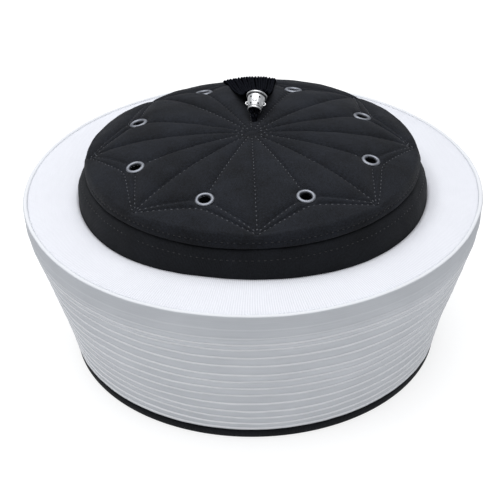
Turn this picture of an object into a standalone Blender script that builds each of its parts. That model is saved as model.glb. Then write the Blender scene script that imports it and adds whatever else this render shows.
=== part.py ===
"""A turban cap: a black quilted cloth cap inside a wound and pleated white wrap.

Lengths are in metres, +Z is up and the front looks along -Y. The origin is the middle of
the ring on which the hem rests.
"""

import math

import bmesh
import bpy
from mathutils import Vector

MM = 0.001

# Clearance between pieces that touch each other on the real cap
GAP = 0.3 * MM

# Points of one body that lie closer than this are one point
SAME_POINT = 0.01 * MM

# The inner cap's cloth wall, from the hem up to the seam under the top panel
HEAD_RADIUS = 92.5 * MM
CAP_WALL = 3.0 * MM
CAP_TAPER = 6.0 * MM
HEM_SHOWING = 5.4 * MM
HEM_ROLL = 1.4 * MM
HEM_ROUNDING = 0.6 * MM
BAND_SHOWING = 15.2 * MM
BAND_LEAN_IN = 4.9 * MM
BAND_EDGE_ROLL = 0.9 * MM
BAND_BULGE = 3.0 * MM

# The white wrap
WRAP_HEIGHT = 83.2 * MM
WRAP_FOOT = 1.4 * MM
WRAP_SPREAD = 21.0 * MM
FOLD_RADIUS = 1.6 * MM
FOLD_WIDTH = 3.5 * MM
PLEAT_DEPTH = 0.6 * MM
PLEAT_EDGE = 0.4 * MM
COVER_CLOTH = 3.6 * MM
COVER_SINK = 2.1 * MM

# The cover rides up the band at the front
LIP_RISE = 2.9 * MM
LIP_PLACE = math.radians(-97.0)
LIP_NARROWNESS = 5
LIP_CURVE = 2

# The quilted top panel
CROWN_RISE = 17.9 * MM
SHOULDER_HEIGHT = 7.0 * MM
SHOULDER_BULGE = 0.6 * MM
TOPSTITCH_HEIGHT = 3.8 * MM
STAR_INSET = 1.7 * MM
PANEL_WALL = 4.0 * MM
QUILT_PUFF = 1.5 * MM
PUFF_CURVE = 0.7
POINT_PINCH = 0.8
LEAF_WIDTH = 1.2 * MM
SCALLOP_CURVE = 1.5
CROWN_CURVE = 2.72
CROWN_LEAN = -0.021
CROWN_TURN = math.radians(1.0)
EDGE_SAG = 3.0 * MM
SAG_CURVE = 8
BACK_POINT = math.radians(135.0)
BACK_POINT_SHIFT = math.radians(-6.5)

# The eyelets, set in from the points of the star
EYELET_COUNT = 8
EYELET_INSET = 19.7 * MM
EYELET_RADIUS = 4.9 * MM
EYELET_HOLE = 3.0 * MM
EYELET_METAL = 0.6 * MM
EYELET_RISE = 0.8 * MM
EYELET_SEAT = 0.5 * MM
EYELET_TAIL = 0.8 * MM
EYELET_ROLL = 0.3 * MM
SCALLOP_MARGIN = 1.4 * MM

# The bead and the tassel
BEAD_SET_BACK = 18.5 * MM
BEAD_SIDE = 3.2 * MM
BEAD_TILT = math.radians(28.0)
BEAD_LENGTH = 9.4 * MM
BEAD_RADIUS = 5.8 * MM
BEAD_TAPER = 1.8 * MM
BEAD_BORE = 3.0 * MM
BEAD_RELIEF = 0.5 * MM
BEAD_WAVES = 6
WAVE_BAND = 0.3
LOCK_COUNT = 9
LOCK_RADIUS = 0.9 * MM
LOCK_TIP = 0.7
FAN_WIDTH = 28.0 * MM
FAN_SIDE = -3.4 * MM
FAN_FALL = 8.0 * MM
FAN_CURVE = 0.8

# Facets: the quilted panel has the same number in each of its sixteen sectors
ROUND_STEPS = 48
SECTOR_STEPS = 4
EYELET_STEPS = 12
BEAD_STEPS = 24
LOCK_STEPS = 11

# Edges that turn by more than this stay sharp
SHARP = math.radians(45.0)

# Heights and radii that follow from the sizes above
CAP_RADIUS = HEAD_RADIUS + CAP_WALL
WRAP_TOP = HEM_SHOWING + WRAP_HEIGHT
CONTACT_HEIGHT = WRAP_TOP - COVER_SINK
CONTACT_RADIUS = CAP_RADIUS - CAP_TAPER
SEAM_HEIGHT = CONTACT_HEIGHT + BAND_SHOWING
SEAM_RADIUS = CONTACT_RADIUS - BAND_LEAN_IN
CROWN_TOP = SEAM_HEIGHT + CROWN_RISE
STAR_RADIUS = SEAM_RADIUS - STAR_INSET
EYELET_CIRCLE = STAR_RADIUS - EYELET_INSET
WRAP_FOOT_RADIUS = CAP_RADIUS + GAP + WRAP_FOOT
WRAP_RADIUS = WRAP_FOOT_RADIUS + WRAP_SPREAD
COVER_RADIUS = WRAP_RADIUS - FOLD_WIDTH
COVER_BOTTOM = WRAP_TOP - COVER_CLOTH
BARREL_RADIUS = EYELET_HOLE + EYELET_METAL
NECK_RADIUS = BEAD_BORE - GAP
SECTOR = math.pi / EYELET_COUNT
COLUMNS = 2 * EYELET_COUNT * SECTOR_STEPS

# Where the crown's edge sags: direction, share of the sag, narrowness
EDGE_SAGS = (
    (math.radians(150.0), 1.1, 2),
    (math.radians(110.0), 0.3, 6),
    (math.radians(20.0), 0.8, 6),
)

# Where the band bulges: direction, share of the bulge, narrowness
BAND_BULGES = (
    (math.radians(170.0), 0.9, 8),
    (math.radians(2.0), 0.7, 4),
)

# The wrap's side: share of the wrap's height, share of its spread
WRAP_OUTLINE = (
    (0.00, 0.00),
    (0.12, 0.10),
    (0.30, 0.28),
    (0.48, 0.50),
    (0.66, 0.71),
    (0.83, 0.92),
    (0.94, 1.00),
)

# The pleats, from the top one down: share of the wrap's height, share of the pleat's depth
PLEATS = (
    (0.775, 0.6),
    (0.728, 0.8),
    (0.655, 0.9),
    (0.584, 1.0),
    (0.508, 1.0),
    (0.446, 1.0),
    (0.382, 1.0),
    (0.314, 1.0),
    (0.242, 1.0),
    (0.175, 1.0),
    (0.118, 1.0),
    (0.063, 0.9),
    (0.020, 0.7),
)

# The cover's top, from the cap outwards: share of its width, share of its sink next to the cap
COVER_OUTLINE = (
    (0.00, 1.00),
    (0.08, 0.72),
    (0.20, 0.41),
    (0.38, 0.15),
    (0.62, 0.02),
    (0.94, 0.00),
)

# The panel's rings, from the middle outwards: field, share of the way across it, share of the puff.
# The star field ends at the star's inner row, the leaf field at its outer row and the rim field
# at the shoulder.
QUILT_RINGS = (
    ("star", 0.11, 0.00),
    ("star", 0.32, 0.70),
    ("star", 0.56, 1.00),
    ("star", 0.80, 0.90),
    ("star", 1.00, 0.00),
    ("leaf", 0.50, 0.30),
    ("leaf", 1.00, 0.00),
    ("rim", 0.45, 0.80),
    ("rim", 1.00, 0.60),
)

# The panel's shoulder, below the quilting: share of its bulge, share of the topstitch's height
SHOULDER = (
    (0.80, 1.00),
    (1.00, 0.50),
)

# The bead's outline, back end first: share of its half length, share of its taper
BEAD_OUTLINE = (
    (1.00, 0.25),
    (0.92, 0.00),
    (0.74, 0.00),
    (0.64, 0.62),
    (0.22, 0.55),
    (-0.22, 0.62),
    (-0.66, 1.00),
    (-0.76, 0.85),
    (-0.90, 0.85),
    (-1.00, 1.15),
)

# The tassel's neck under the bead: shares of the bore set forward, of the rise, and of the radius
NECK = (
    (0.45, 0.00, 0.60),
    (0.45, 0.35, 0.60),
    (0.35, 0.72, 0.66),
    (0.00, 1.00, 0.74),
)

# The tassel's fall behind the bead: share of the way from the bead to the shoulder, lift off the cloth
TASSEL_FALL = (
    (0.08, 6.0 * MM),
    (0.24, 2.8 * MM),
    (0.44, 0.9 * MM),
    (0.66, 0.5 * MM),
    (0.86, 0.4 * MM),
)

# Base colour, roughness and metallic value of each finish
FINISHES = {
    "black_cotton": ((0.016, 0.018, 0.022, 1.0), 0.9, 0.0),
    "white_cotton": ((0.80, 0.82, 0.86, 1.0), 0.85, 0.0),
    "black_cord": ((0.010, 0.010, 0.012, 1.0), 0.7, 0.0),
    "gunmetal": ((0.30, 0.31, 0.34, 1.0), 0.35, 1.0),
    "antique_silver": ((0.62, 0.61, 0.58, 1.0), 0.3, 1.0),
}


def clear_scene():
    """Remove the objects that the file holds."""
    for obj in list(bpy.data.objects):
        bpy.data.objects.remove(obj, do_unlink=True)


def new_collection(name):
    """A collection of that name, linked to the scene."""
    collection = bpy.data.collections.new(name)
    bpy.context.scene.collection.children.link(collection)
    return collection


def finish(name):
    """The Principled material of that finish, made once."""
    material = bpy.data.materials.get(name)
    if material:
        return material
    material = bpy.data.materials.new(name)
    material.use_nodes = True
    shader = material.node_tree.nodes["Principled BSDF"]
    colour, roughness, metallic = FINISHES[name]
    shader.inputs["Base Color"].default_value = colour
    shader.inputs["Roughness"].default_value = roughness
    shader.inputs["Metallic"].default_value = metallic
    return material


def new_part(name, mesh, collection, finish_name):
    """An object for a mesh, in its collection and with its finish."""
    obj = bpy.data.objects.new(name, mesh)
    collection.objects.link(obj)
    if finish_name:
        mesh.materials.append(finish(finish_name))
    return obj


def turned(name, outline, steps, collection, finish_name):
    """A body turned about Z from an outline that runs down the outer side.

    An outline that starts on the axis also ends there, and any other is a closed loop.
    """
    mesh = bpy.data.meshes.new(name)
    points = [(radius, 0.0, height) for radius, height in outline]
    edges = [(i, i + 1) for i in range(len(points) - 1)]
    if outline[0][0] > 0.0:
        edges.append((len(points) - 1, 0))
    mesh.from_pydata(points, edges, [])
    obj = new_part(name, mesh, collection, finish_name)
    screw = obj.modifiers.new("Turn", "SCREW")
    screw.angle = math.tau
    screw.steps = steps
    screw.render_steps = steps
    screw.use_merge_vertices = True
    screw.merge_threshold = SAME_POINT
    screw.use_smooth_shade = True
    return obj


def as_mesh(obj):
    """Put the evaluated mesh in place of an object's modifiers or its curve."""
    bpy.context.view_layer.update()
    evaluated = obj.evaluated_get(bpy.context.evaluated_depsgraph_get())
    mesh = bpy.data.meshes.new_from_object(evaluated)
    bm = bmesh.new()
    bm.from_mesh(mesh)
    bmesh.ops.remove_doubles(bm, verts=bm.verts, dist=SAME_POINT)
    bm.to_mesh(mesh)
    bm.free()
    name = obj.name
    collection = obj.users_collection[0]
    matrix = obj.matrix_world.copy()
    bpy.data.objects.remove(obj, do_unlink=True)
    solid = bpy.data.objects.new(name, mesh)
    solid.matrix_world = matrix
    collection.objects.link(solid)
    return solid


def smooth_through(points, count):
    """Points at equal steps of a smooth curve (Catmull-Rom) through the given ones."""
    padded = [points[0] * 2 - points[1], *points, points[-1] * 2 - points[-2]]
    spans = len(points) - 1
    result = []
    for i in range(count):
        place = spans * i / (count - 1)
        span = min(int(place), spans - 1)
        t = place - span
        a, b, c, d = padded[span:span + 4]
        result.append(0.5 * (2 * b + (c - a) * t + (2 * a - 5 * b + 4 * c - d) * t ** 2
                             + (3 * b - a - 3 * c + d) * t ** 3))
    return result


def tube(name, points, radii, collection, finish_name):
    """A closed tube along points, with a radius at each one."""
    curve = bpy.data.curves.new(name, "CURVE")
    curve.dimensions = "3D"
    curve.bevel_depth = 1.0
    curve.bevel_resolution = 1
    curve.use_fill_caps = True
    spline = curve.splines.new("POLY")
    spline.points.add(len(points) - 1)
    for point, place, radius in zip(spline.points, points, radii):
        point.co = (*place, 1.0)
        point.radius = radius
    obj = new_part(name, curve, collection, finish_name)
    return as_mesh(obj)


def in_table(table, share):
    """A value read between the rows of a table of (share, value)."""
    for (low, value_low), (high, value_high) in zip(table, table[1:]):
        if share <= high:
            t = max(0.0, (share - low) / (high - low))
            return value_low + (value_high - value_low) * t
    return table[-1][1]


def lobes(table, angle):
    """A value by direction, from a table of (direction, share, narrowness)."""
    return sum(share * max(0.0, math.cos(angle - direction)) ** narrowness
               for direction, share, narrowness in table)


def settled(place):
    """Where a point of the crown lies on the worn cap, which is a little out of true.

    Above the wrap the crown leans forward and its edge sags, and the band bulges at the sides.
    """
    share = (place.z - CONTACT_HEIGHT) / (SEAM_HEIGHT - CONTACT_HEIGHT)
    share = min(1.0, max(0.0, share))
    angle = math.atan2(place.y, place.x)
    radius = math.hypot(place.x, place.y)
    sag = EDGE_SAG * lobes(EDGE_SAGS, angle) * min(1.0, radius / SEAM_RADIUS) ** SAG_CURVE
    bulge = BAND_BULGE * lobes(BAND_BULGES, angle) * math.sin(math.pi * share)
    return Vector((place.x + bulge * math.cos(angle), place.y + bulge * math.sin(angle),
                   place.z + (CROWN_LEAN * place.y - sag) * share))


def cap_radius(height):
    """The outer radius of the cap's wall at a height."""
    if height <= CONTACT_HEIGHT:
        return CAP_RADIUS - CAP_TAPER * height / CONTACT_HEIGHT
    return CONTACT_RADIUS - BAND_LEAN_IN * (height - CONTACT_HEIGHT) / BAND_SHOWING


def make_cap_band(collection):
    """The cap's cloth wall: a rolled hem, the hidden wall, and the band that leans in to the seam."""
    hem_top = HEM_SHOWING - GAP
    top = SEAM_HEIGHT - GAP
    outline = [
        (cap_radius(top) - BAND_EDGE_ROLL, top),
        (cap_radius(top - BAND_EDGE_ROLL), top - BAND_EDGE_ROLL),
        (CONTACT_RADIUS, CONTACT_HEIGHT),
        (cap_radius(HEM_SHOWING), HEM_SHOWING),
        (CAP_RADIUS + HEM_ROLL, hem_top - HEM_ROUNDING),
        (CAP_RADIUS + HEM_ROLL, HEM_ROUNDING),
        (CAP_RADIUS + HEM_ROLL - HEM_ROUNDING, 0.0),
        (HEAD_RADIUS + HEM_ROUNDING, 0.0),
        (HEAD_RADIUS, HEM_ROUNDING),
        (CONTACT_RADIUS - CAP_WALL, CONTACT_HEIGHT),
        (cap_radius(top) - CAP_WALL, top),
    ]
    band = as_mesh(turned("cap_band", outline, ROUND_STEPS, collection, "black_cotton"))
    for vertex in band.data.vertices:
        vertex.co = settled(vertex.co)
    band.data.shade_smooth()
    band.data.set_sharp_from_angle(angle=SHARP)


def wrap_radius(height):
    """The radius of the wrap's side at a height, before its pleats."""
    share = (height - HEM_SHOWING) / WRAP_HEIGHT
    return WRAP_FOOT_RADIUS + WRAP_SPREAD * in_table(WRAP_OUTLINE, share)


def make_wrap_side(collection):
    """The wound wrap: a rounded fold, a smooth upper part, pleats one above the other, and a foot."""
    recess = COVER_BOTTOM - GAP
    outline = [(COVER_RADIUS + GAP, WRAP_TOP - PLEAT_EDGE)]
    for step in range(5):
        angle = math.pi / 2 * (1 - step / 4)
        outline.append((WRAP_RADIUS - FOLD_RADIUS * (1 - math.cos(angle)),
                        WRAP_TOP - FOLD_RADIUS * (1 - math.sin(angle))))
    for share, _ in reversed(WRAP_OUTLINE):
        if PLEATS[0][0] < share:
            height = HEM_SHOWING + WRAP_HEIGHT * share
            outline.append((wrap_radius(height), height))
    for share, depth in PLEATS:
        height = HEM_SHOWING + WRAP_HEIGHT * share
        outline.append((wrap_radius(height) - PLEAT_DEPTH * depth, height + PLEAT_EDGE / 2))
        outline.append((wrap_radius(height), height - PLEAT_EDGE / 2))
    outline += [
        (WRAP_FOOT_RADIUS - PLEAT_DEPTH, HEM_SHOWING),
        (cap_radius(HEM_SHOWING) + GAP, HEM_SHOWING),
        (cap_radius(recess) + GAP, recess),
        (COVER_RADIUS + GAP, recess),
    ]
    turned("wrap_side", outline, ROUND_STEPS, collection, "white_cotton")


def ridden_up(place):
    """Where a point of the cover's top lies once its inner edge has ridden up the band."""
    inner = CONTACT_RADIUS + GAP
    radius = math.hypot(place.x, place.y)
    angle = math.atan2(place.y, place.x)
    nearness = ((COVER_RADIUS - radius) / (COVER_RADIUS - inner)) ** LIP_CURVE
    rise = LIP_RISE * max(0.0, math.cos(angle - LIP_PLACE)) ** LIP_NARROWNESS * nearness
    radius -= BAND_LEAN_IN * rise / BAND_SHOWING
    risen = Vector((radius * math.cos(angle), radius * math.sin(angle), place.z + rise))
    return risen.lerp(settled(risen), nearness)


def make_wrap_top(collection):
    """The ribbed cover: nearly flat, rolled down where it meets the cap, and ridden up in front."""
    inner = CONTACT_RADIUS + GAP
    outline = []
    for share, sink in COVER_OUTLINE:
        outline.append((inner + (COVER_RADIUS - inner) * share, WRAP_TOP - COVER_SINK * sink))
    outline += [
        (COVER_RADIUS, WRAP_TOP - PLEAT_EDGE),
        (COVER_RADIUS, COVER_BOTTOM),
        (cap_radius(COVER_BOTTOM) + GAP, COVER_BOTTOM),
        (cap_radius(CONTACT_HEIGHT - PLEAT_EDGE) + GAP, CONTACT_HEIGHT - PLEAT_EDGE),
    ]
    cover = as_mesh(turned("wrap_top", outline, ROUND_STEPS, collection, "white_cotton"))
    for vertex in cover.data.vertices:
        if vertex.co.z >= CONTACT_HEIGHT - SAME_POINT:
            vertex.co = ridden_up(vertex.co)
    cover.data.shade_smooth()
    cover.data.set_sharp_from_angle(angle=SHARP)


def dome_height(radius):
    """The height of the panel's stitched rows at a radius."""
    drop = (CROWN_RISE - SHOULDER_HEIGHT) * (radius / STAR_RADIUS) ** CROWN_CURVE
    return CROWN_TOP - drop


def crown_place(radius, angle, height):
    """A point of the crown, turned and settled as the crown is, with one back point of its star shifted."""
    away = abs((angle - BACK_POINT + math.pi) % math.tau - math.pi)
    turn = angle + CROWN_TURN + BACK_POINT_SHIFT * max(0.0, 1.0 - away / SECTOR)
    return settled(Vector((radius * math.cos(turn), radius * math.sin(turn), height)))


def star_share(angle):
    """0 in line with an eyelet, 1 in line with a point of the star."""
    return abs((angle / SECTOR) % 2 - 1)


def inner_row(share):
    """The radius of the star's inner row: a straight line from an eyelet to a point of the star."""
    reach = STAR_RADIUS - LEAF_WIDTH
    x, y = reach * math.cos(SECTOR), reach * math.sin(SECTOR)
    angle = SECTOR * share
    return EYELET_CIRCLE * y / (y * math.cos(angle) - (x - EYELET_CIRCLE) * math.sin(angle))


def outer_row(share):
    """The radius of the star's outer row, which passes outside the eyelet in a scallop."""
    near = EYELET_CIRCLE + EYELET_RADIUS + SCALLOP_MARGIN
    return near + (STAR_RADIUS - near) * share ** SCALLOP_CURVE


def quilt_place(ring, angle):
    """A point of a quilted ring: its radius follows the star, its height the dome and the puff."""
    field, across, puff = ring
    share = star_share(angle)
    if field == "star":
        radius = inner_row(share) * across
        swell = math.sin(math.pi * share) ** PUFF_CURVE if 0.0 < share < 1.0 else 0.0
    elif field == "leaf":
        radius = inner_row(share) + (outer_row(share) - inner_row(share)) * across
        swell = math.sin(math.pi * share)
    else:
        shoulder = SEAM_RADIUS + SHOULDER_BULGE / 5
        radius = outer_row(share) + (shoulder - outer_row(share)) * across
        swell = 1.0 - POINT_PINCH * share ** 4
    return radius, dome_height(min(radius, STAR_RADIUS)) + QUILT_PUFF * puff * swell


def ring_place(ring, angle):
    """A point of a ring: by its row where it is quilted, else the same radius and height all round."""
    return quilt_place(ring, angle) if isinstance(ring[0], str) else ring


def crown_rings():
    """The panel's rings, from the quilting over the shoulder, round the seam and back inside."""
    bottom = SEAM_HEIGHT + GAP / 2
    inside = SEAM_RADIUS - PANEL_WALL
    plain = []
    for bulge, height in SHOULDER:
        plain.append((SEAM_RADIUS + SHOULDER_BULGE * bulge, SEAM_HEIGHT + TOPSTITCH_HEIGHT * height))
    plain += [(SEAM_RADIUS, bottom), (inside, bottom)]
    for radius in (inside, inside / 2):
        plain.append((radius, dome_height(radius) - PANEL_WALL))
    return [*QUILT_RINGS, *plain]


def extruded(bm, edges):
    """Extrude a loop of edges where it is, and give the new points and the new edges."""
    made = bmesh.ops.extrude_edge_only(bm, edges=edges)["geom"]
    points = [item for item in made if isinstance(item, bmesh.types.BMVert)]
    return points, [item for item in made if isinstance(item, bmesh.types.BMEdge)]


def make_crown_top(collection, cutters):
    """The quilted panel: rings lofted one to the next, with a seat and a hole for each eyelet."""
    bm = bmesh.new()
    column = bm.verts.layers.int.new("column")
    bmesh.ops.create_circle(bm, segments=COLUMNS, radius=SEAM_RADIUS)
    points, edges = list(bm.verts), list(bm.edges)
    first = edges
    for point in points:
        point[column] = round(COLUMNS * math.atan2(point.co.y, point.co.x) / math.tau)
    rings = crown_rings()
    for ring in rings:
        if ring is not rings[0]:
            points, edges = extruded(bm, edges)
        for point in points:
            angle = math.tau * point[column] / COLUMNS
            radius, height = ring_place(ring, angle)
            point.co = crown_place(radius, angle, height)
    for loop, height in ((edges, CROWN_TOP - PANEL_WALL), (first, CROWN_TOP)):
        points, _ = extruded(bm, loop)
        bmesh.ops.pointmerge(bm, verts=points, merge_co=(0.0, 0.0, height))
    bmesh.ops.recalc_face_normals(bm, faces=bm.faces)
    mesh = bpy.data.meshes.new("crown_top")
    bm.to_mesh(mesh)
    bm.free()
    panel = new_part("crown_top", mesh, collection, "black_cotton")
    for number in range(EYELET_COUNT):
        cut = panel.modifiers.new("Eyelet hole", "BOOLEAN")
        cut.operation = "DIFFERENCE"
        cut.object = eyelet_cutter(number, cutters)
    mesh.shade_smooth()
    mesh.set_sharp_from_angle(angle=SHARP)


def eyelet_frame(number):
    """The seat of an eyelet: its middle on the cloth, and the turn that lays it along the dome."""
    angle = 2 * SECTOR * number + SECTOR
    step = 0.5 * MM
    place = crown_place(EYELET_CIRCLE, angle, dome_height(EYELET_CIRCLE))
    outward = crown_place(EYELET_CIRCLE + step, angle, dome_height(EYELET_CIRCLE + step)) - place
    along = Vector((-outward.y, outward.x, 0.0))
    normal = outward.cross(along).normalized()
    return place, normal.to_track_quat("Z", "Y").to_euler()


def eyelet_cutter(number, cutters):
    """What an eyelet takes out of the panel: a shallow seat for its flange, a hole for its barrel."""
    seat = EYELET_RADIUS + GAP
    hole = BARREL_RADIUS + GAP
    reach = 3 * PANEL_WALL
    outline = [(0.0, reach), (seat, reach), (seat, -EYELET_SEAT)]
    outline += [(hole, -EYELET_SEAT), (hole, -reach), (0.0, -reach)]
    cutter = turned(f"eyelet_cutter_{number + 1}", outline, EYELET_STEPS, cutters, None)
    cutter.location, cutter.rotation_euler = eyelet_frame(number)
    cutter.hide_render = True
    cutter.display_type = "WIRE"
    return cutter


def make_eyelets(collection):
    """The eyelets: a rolled flange on the cloth and a barrel through the panel."""
    under = GAP - EYELET_SEAT
    tail = -(PANEL_WALL + EYELET_TAIL)
    outline = [
        (EYELET_HOLE + EYELET_ROLL, EYELET_RISE),
        ((BARREL_RADIUS + EYELET_RADIUS) / 2, EYELET_RISE),
        (EYELET_RADIUS, under + EYELET_METAL),
        (EYELET_RADIUS - EYELET_ROLL, under),
        (BARREL_RADIUS, under),
        (BARREL_RADIUS, tail),
        (EYELET_HOLE, tail),
        (EYELET_HOLE, EYELET_RISE - EYELET_ROLL),
    ]
    for number in range(EYELET_COUNT):
        name = f"eyelet_{number + 1}"
        eyelet = turned(name, outline, EYELET_STEPS, collection, "gunmetal")
        eyelet.location, eyelet.rotation_euler = eyelet_frame(number)


def cloth_height(x, y):
    """The height of the quilted cloth's highest stretches at a place on the settled crown."""
    radius = min(math.hypot(x, y), STAR_RADIUS)
    return settled(Vector((x, y, dome_height(radius) + QUILT_PUFF))).z


def bead_frame():
    """The bead's middle and its axis, with the lower front rim just off the cloth."""
    axis = Vector((0.0, math.cos(BEAD_TILT), math.sin(BEAD_TILT)))
    rim = BEAD_LENGTH / 2 * axis.z + (BEAD_RADIUS - BEAD_TAPER / 2) * axis.y
    cloth = cloth_height(0.0, BEAD_SET_BACK) - QUILT_PUFF / 2
    return Vector((BEAD_SIDE, BEAD_SET_BACK, cloth + GAP + rim)), axis


def make_bead(collection):
    """The bead: a tapered barrel with a rim at each end, a raised wave between them, and a bore."""
    half = BEAD_LENGTH / 2
    outline = [(BEAD_RADIUS - BEAD_TAPER * taper, half * share) for share, taper in BEAD_OUTLINE]
    outline += [(BEAD_BORE, -half), (BEAD_BORE, half)]
    bead = as_mesh(turned("tassel_bead", outline, BEAD_STEPS, collection, "antique_silver"))
    for vertex in bead.data.vertices:
        place = vertex.co
        out = Vector((place.x, place.y, 0.0))
        if out.length > BEAD_BORE + GAP and abs(place.z) < half * WAVE_BAND:
            wave = math.copysign(1.0, place.z) * math.cos(BEAD_WAVES * math.atan2(place.y, place.x))
            vertex.co = place + out.normalized() * BEAD_RELIEF * max(0.0, wave)
    middle, axis = bead_frame()
    bead.location = middle
    bead.rotation_euler = axis.to_track_quat("Z", "Y").to_euler()
    bead.data.shade_smooth()
    bead.data.set_sharp_from_angle(angle=SHARP)


def lock_route(side):
    """The way of one lock, from the bead over the back of the crown and down behind the shoulder."""
    middle, axis = bead_frame()
    start = middle + axis * (BEAD_LENGTH / 2 + 2 * GAP)
    start.x += side * BEAD_BORE * 0.4
    points = [start, start + axis * LOCK_RADIUS * 1.5]
    points[1].x += side * LOCK_RADIUS * 0.6
    first = points[1].y
    shoulder = SEAM_RADIUS + SHOULDER_BULGE
    for share, lift in TASSEL_FALL:
        reach = first + (shoulder - first) * share
        x = BEAD_SIDE + FAN_SIDE * share
        x += side * (BEAD_BORE + (FAN_WIDTH / 2 - BEAD_BORE) * share ** FAN_CURVE)
        y = math.sqrt(reach ** 2 - x ** 2)
        z = cloth_height(x, y) + lift + LOCK_RADIUS
        points.append(Vector((x, y, z)))
    hang = shoulder + LOCK_RADIUS + 2 * GAP
    edge = dome_height(STAR_RADIUS) + LOCK_RADIUS * 1.7
    knee = SEAM_HEIGHT + TOPSTITCH_HEIGHT
    for reach, height in ((hang - LOCK_RADIUS, edge), (hang, knee), (hang, knee - FAN_FALL)):
        x = BEAD_SIDE + FAN_SIDE + side * FAN_WIDTH / 2
        y = math.sqrt(reach ** 2 - x ** 2)
        points.append(settled(Vector((x, y, height))))
    return points


def make_tassel(collection):
    """The tassel: a neck that stands on the crown and runs through the bead, fused to its locks."""
    middle, axis = bead_frame()
    entry = middle - axis * (BEAD_LENGTH / 2 + NECK_RADIUS / 2)
    foot = cloth_height(0.0, entry.y) - QUILT_PUFF / 2 + GAP
    points = []
    radii = []
    for forward, rise, thickness in NECK:
        points.append(Vector((entry.x, entry.y - BEAD_BORE * forward, foot + (entry.z - foot) * rise)))
        radii.append(NECK_RADIUS * thickness)
    points += [middle - axis * BEAD_LENGTH / 3, middle, middle + axis * (BEAD_LENGTH / 2 + NECK_RADIUS)]
    radii += [NECK_RADIUS] * 3
    tassel = tube("tassel", points, radii, collection, "black_cord")
    locks = new_collection("Tassel locks")
    for number in range(LOCK_COUNT):
        side = 2 * number / (LOCK_COUNT - 1) - 1
        route = smooth_through(lock_route(side), LOCK_STEPS)
        thick = [LOCK_RADIUS * min(1.0, LOCK_TIP + i / 10) for i in range(LOCK_STEPS)]
        thick[-1] = LOCK_RADIUS / 2
        lock = tube(f"tassel_lock_{number + 1}", route, thick, locks, "black_cord")
        lock.hide_render = True
        lock.display_type = "WIRE"
        fuse = tassel.modifiers.new("Fuse lock", "BOOLEAN")
        fuse.operation = "UNION"
        fuse.object = lock
    tassel.data.shade_smooth()


def main():
    """Build the cap in one collection and its cutters in another."""
    clear_scene()
    cap = new_collection("Turban cap")
    cutters = new_collection("Cutters")
    make_cap_band(cap)
    make_wrap_side(cap)
    make_wrap_top(cap)
    make_crown_top(cap, cutters)
    make_eyelets(cap)
    make_bead(cap)
    make_tassel(cap)


main()
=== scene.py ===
# %% [markdown]
# # A turban cap
#
# A black quilted cap sits inside a wide wound wrap of white cloth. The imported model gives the
# sizes of its fourteen pieces. This notebook makes each of them again in cloth, thread, metal
# and cord, one step at a time, and then lights them for a picture.
#
# Lengths are in metres, +Z is up and the front of the cap looks along -Y.

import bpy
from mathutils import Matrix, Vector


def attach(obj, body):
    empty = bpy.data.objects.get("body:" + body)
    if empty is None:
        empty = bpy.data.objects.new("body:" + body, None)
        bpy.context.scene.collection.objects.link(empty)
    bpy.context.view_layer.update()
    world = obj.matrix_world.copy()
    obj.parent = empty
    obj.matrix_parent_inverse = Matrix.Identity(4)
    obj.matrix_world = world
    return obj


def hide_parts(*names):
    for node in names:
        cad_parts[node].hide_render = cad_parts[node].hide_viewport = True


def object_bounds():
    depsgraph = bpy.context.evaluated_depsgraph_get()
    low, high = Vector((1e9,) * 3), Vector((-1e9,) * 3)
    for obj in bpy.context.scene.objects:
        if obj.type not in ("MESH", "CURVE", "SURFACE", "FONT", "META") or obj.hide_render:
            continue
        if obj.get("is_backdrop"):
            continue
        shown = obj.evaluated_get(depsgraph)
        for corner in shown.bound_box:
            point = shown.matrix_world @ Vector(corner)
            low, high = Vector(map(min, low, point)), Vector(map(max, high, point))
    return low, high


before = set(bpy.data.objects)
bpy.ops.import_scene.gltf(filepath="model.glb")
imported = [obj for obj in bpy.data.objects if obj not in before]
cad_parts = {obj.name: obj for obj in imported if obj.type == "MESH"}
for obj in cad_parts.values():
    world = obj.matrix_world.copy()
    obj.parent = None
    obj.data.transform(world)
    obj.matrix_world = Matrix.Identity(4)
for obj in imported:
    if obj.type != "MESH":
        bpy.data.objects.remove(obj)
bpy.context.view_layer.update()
print("nodes:", ", ".join(sorted(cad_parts)))

# %% The other modules
import math

import bmesh
import bpy
from mathutils import Matrix, Vector, noise

MM = 0.001

# %% [markdown]
# ## The cap's sizes
#
# Every piece below is drawn from these few sizes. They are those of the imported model, or within
# 2.4 mm of them where the picture asks for it. Writing them once, at the top, means that a piece and
# the one beside it can't disagree. They could also be read from the nodes' boxes, but a box can't
# say where a pleat or an eyelet is.

# %% Sizes of the cap, the wrap and the quilted panel
GAP = 0.3 * MM
HEAD_RADIUS = 92.5 * MM
CAP_RADIUS = 95.5 * MM
CAP_WALL = 3.0 * MM
HEM_SHOWING = 5.4 * MM
HEM_ROLL = 1.4 * MM
WRAP_HEIGHT = 83.2 * MM
WRAP_TOP = HEM_SHOWING + WRAP_HEIGHT
WRAP_FOOT_RADIUS = 97.2 * MM
WRAP_SPREAD = 21.0 * MM
WRAP_RADIUS = WRAP_FOOT_RADIUS + WRAP_SPREAD
COVER_RADIUS = 115.9 * MM
COVER_BOTTOM = 85.0 * MM
COVER_SINK = 2.1 * MM
CONTACT_HEIGHT = 86.5 * MM
CONTACT_RADIUS = 89.5 * MM
BAND_SHOWING = 15.2 * MM
BAND_LEAN_IN = 4.9 * MM
BAND_BULGE = 3.0 * MM
LIP_RISE = 2.9 * MM
LIP_PLACE = math.radians(-97.0)
LIP_NARROWNESS = 5
LIP_CURVE = 2
SEAM_HEIGHT = CONTACT_HEIGHT + BAND_SHOWING
SEAM_RADIUS = CONTACT_RADIUS - BAND_LEAN_IN
SHOULDER_BULGE = 0.6 * MM
TOPSTITCH_HEIGHT = 3.8 * MM
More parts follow.
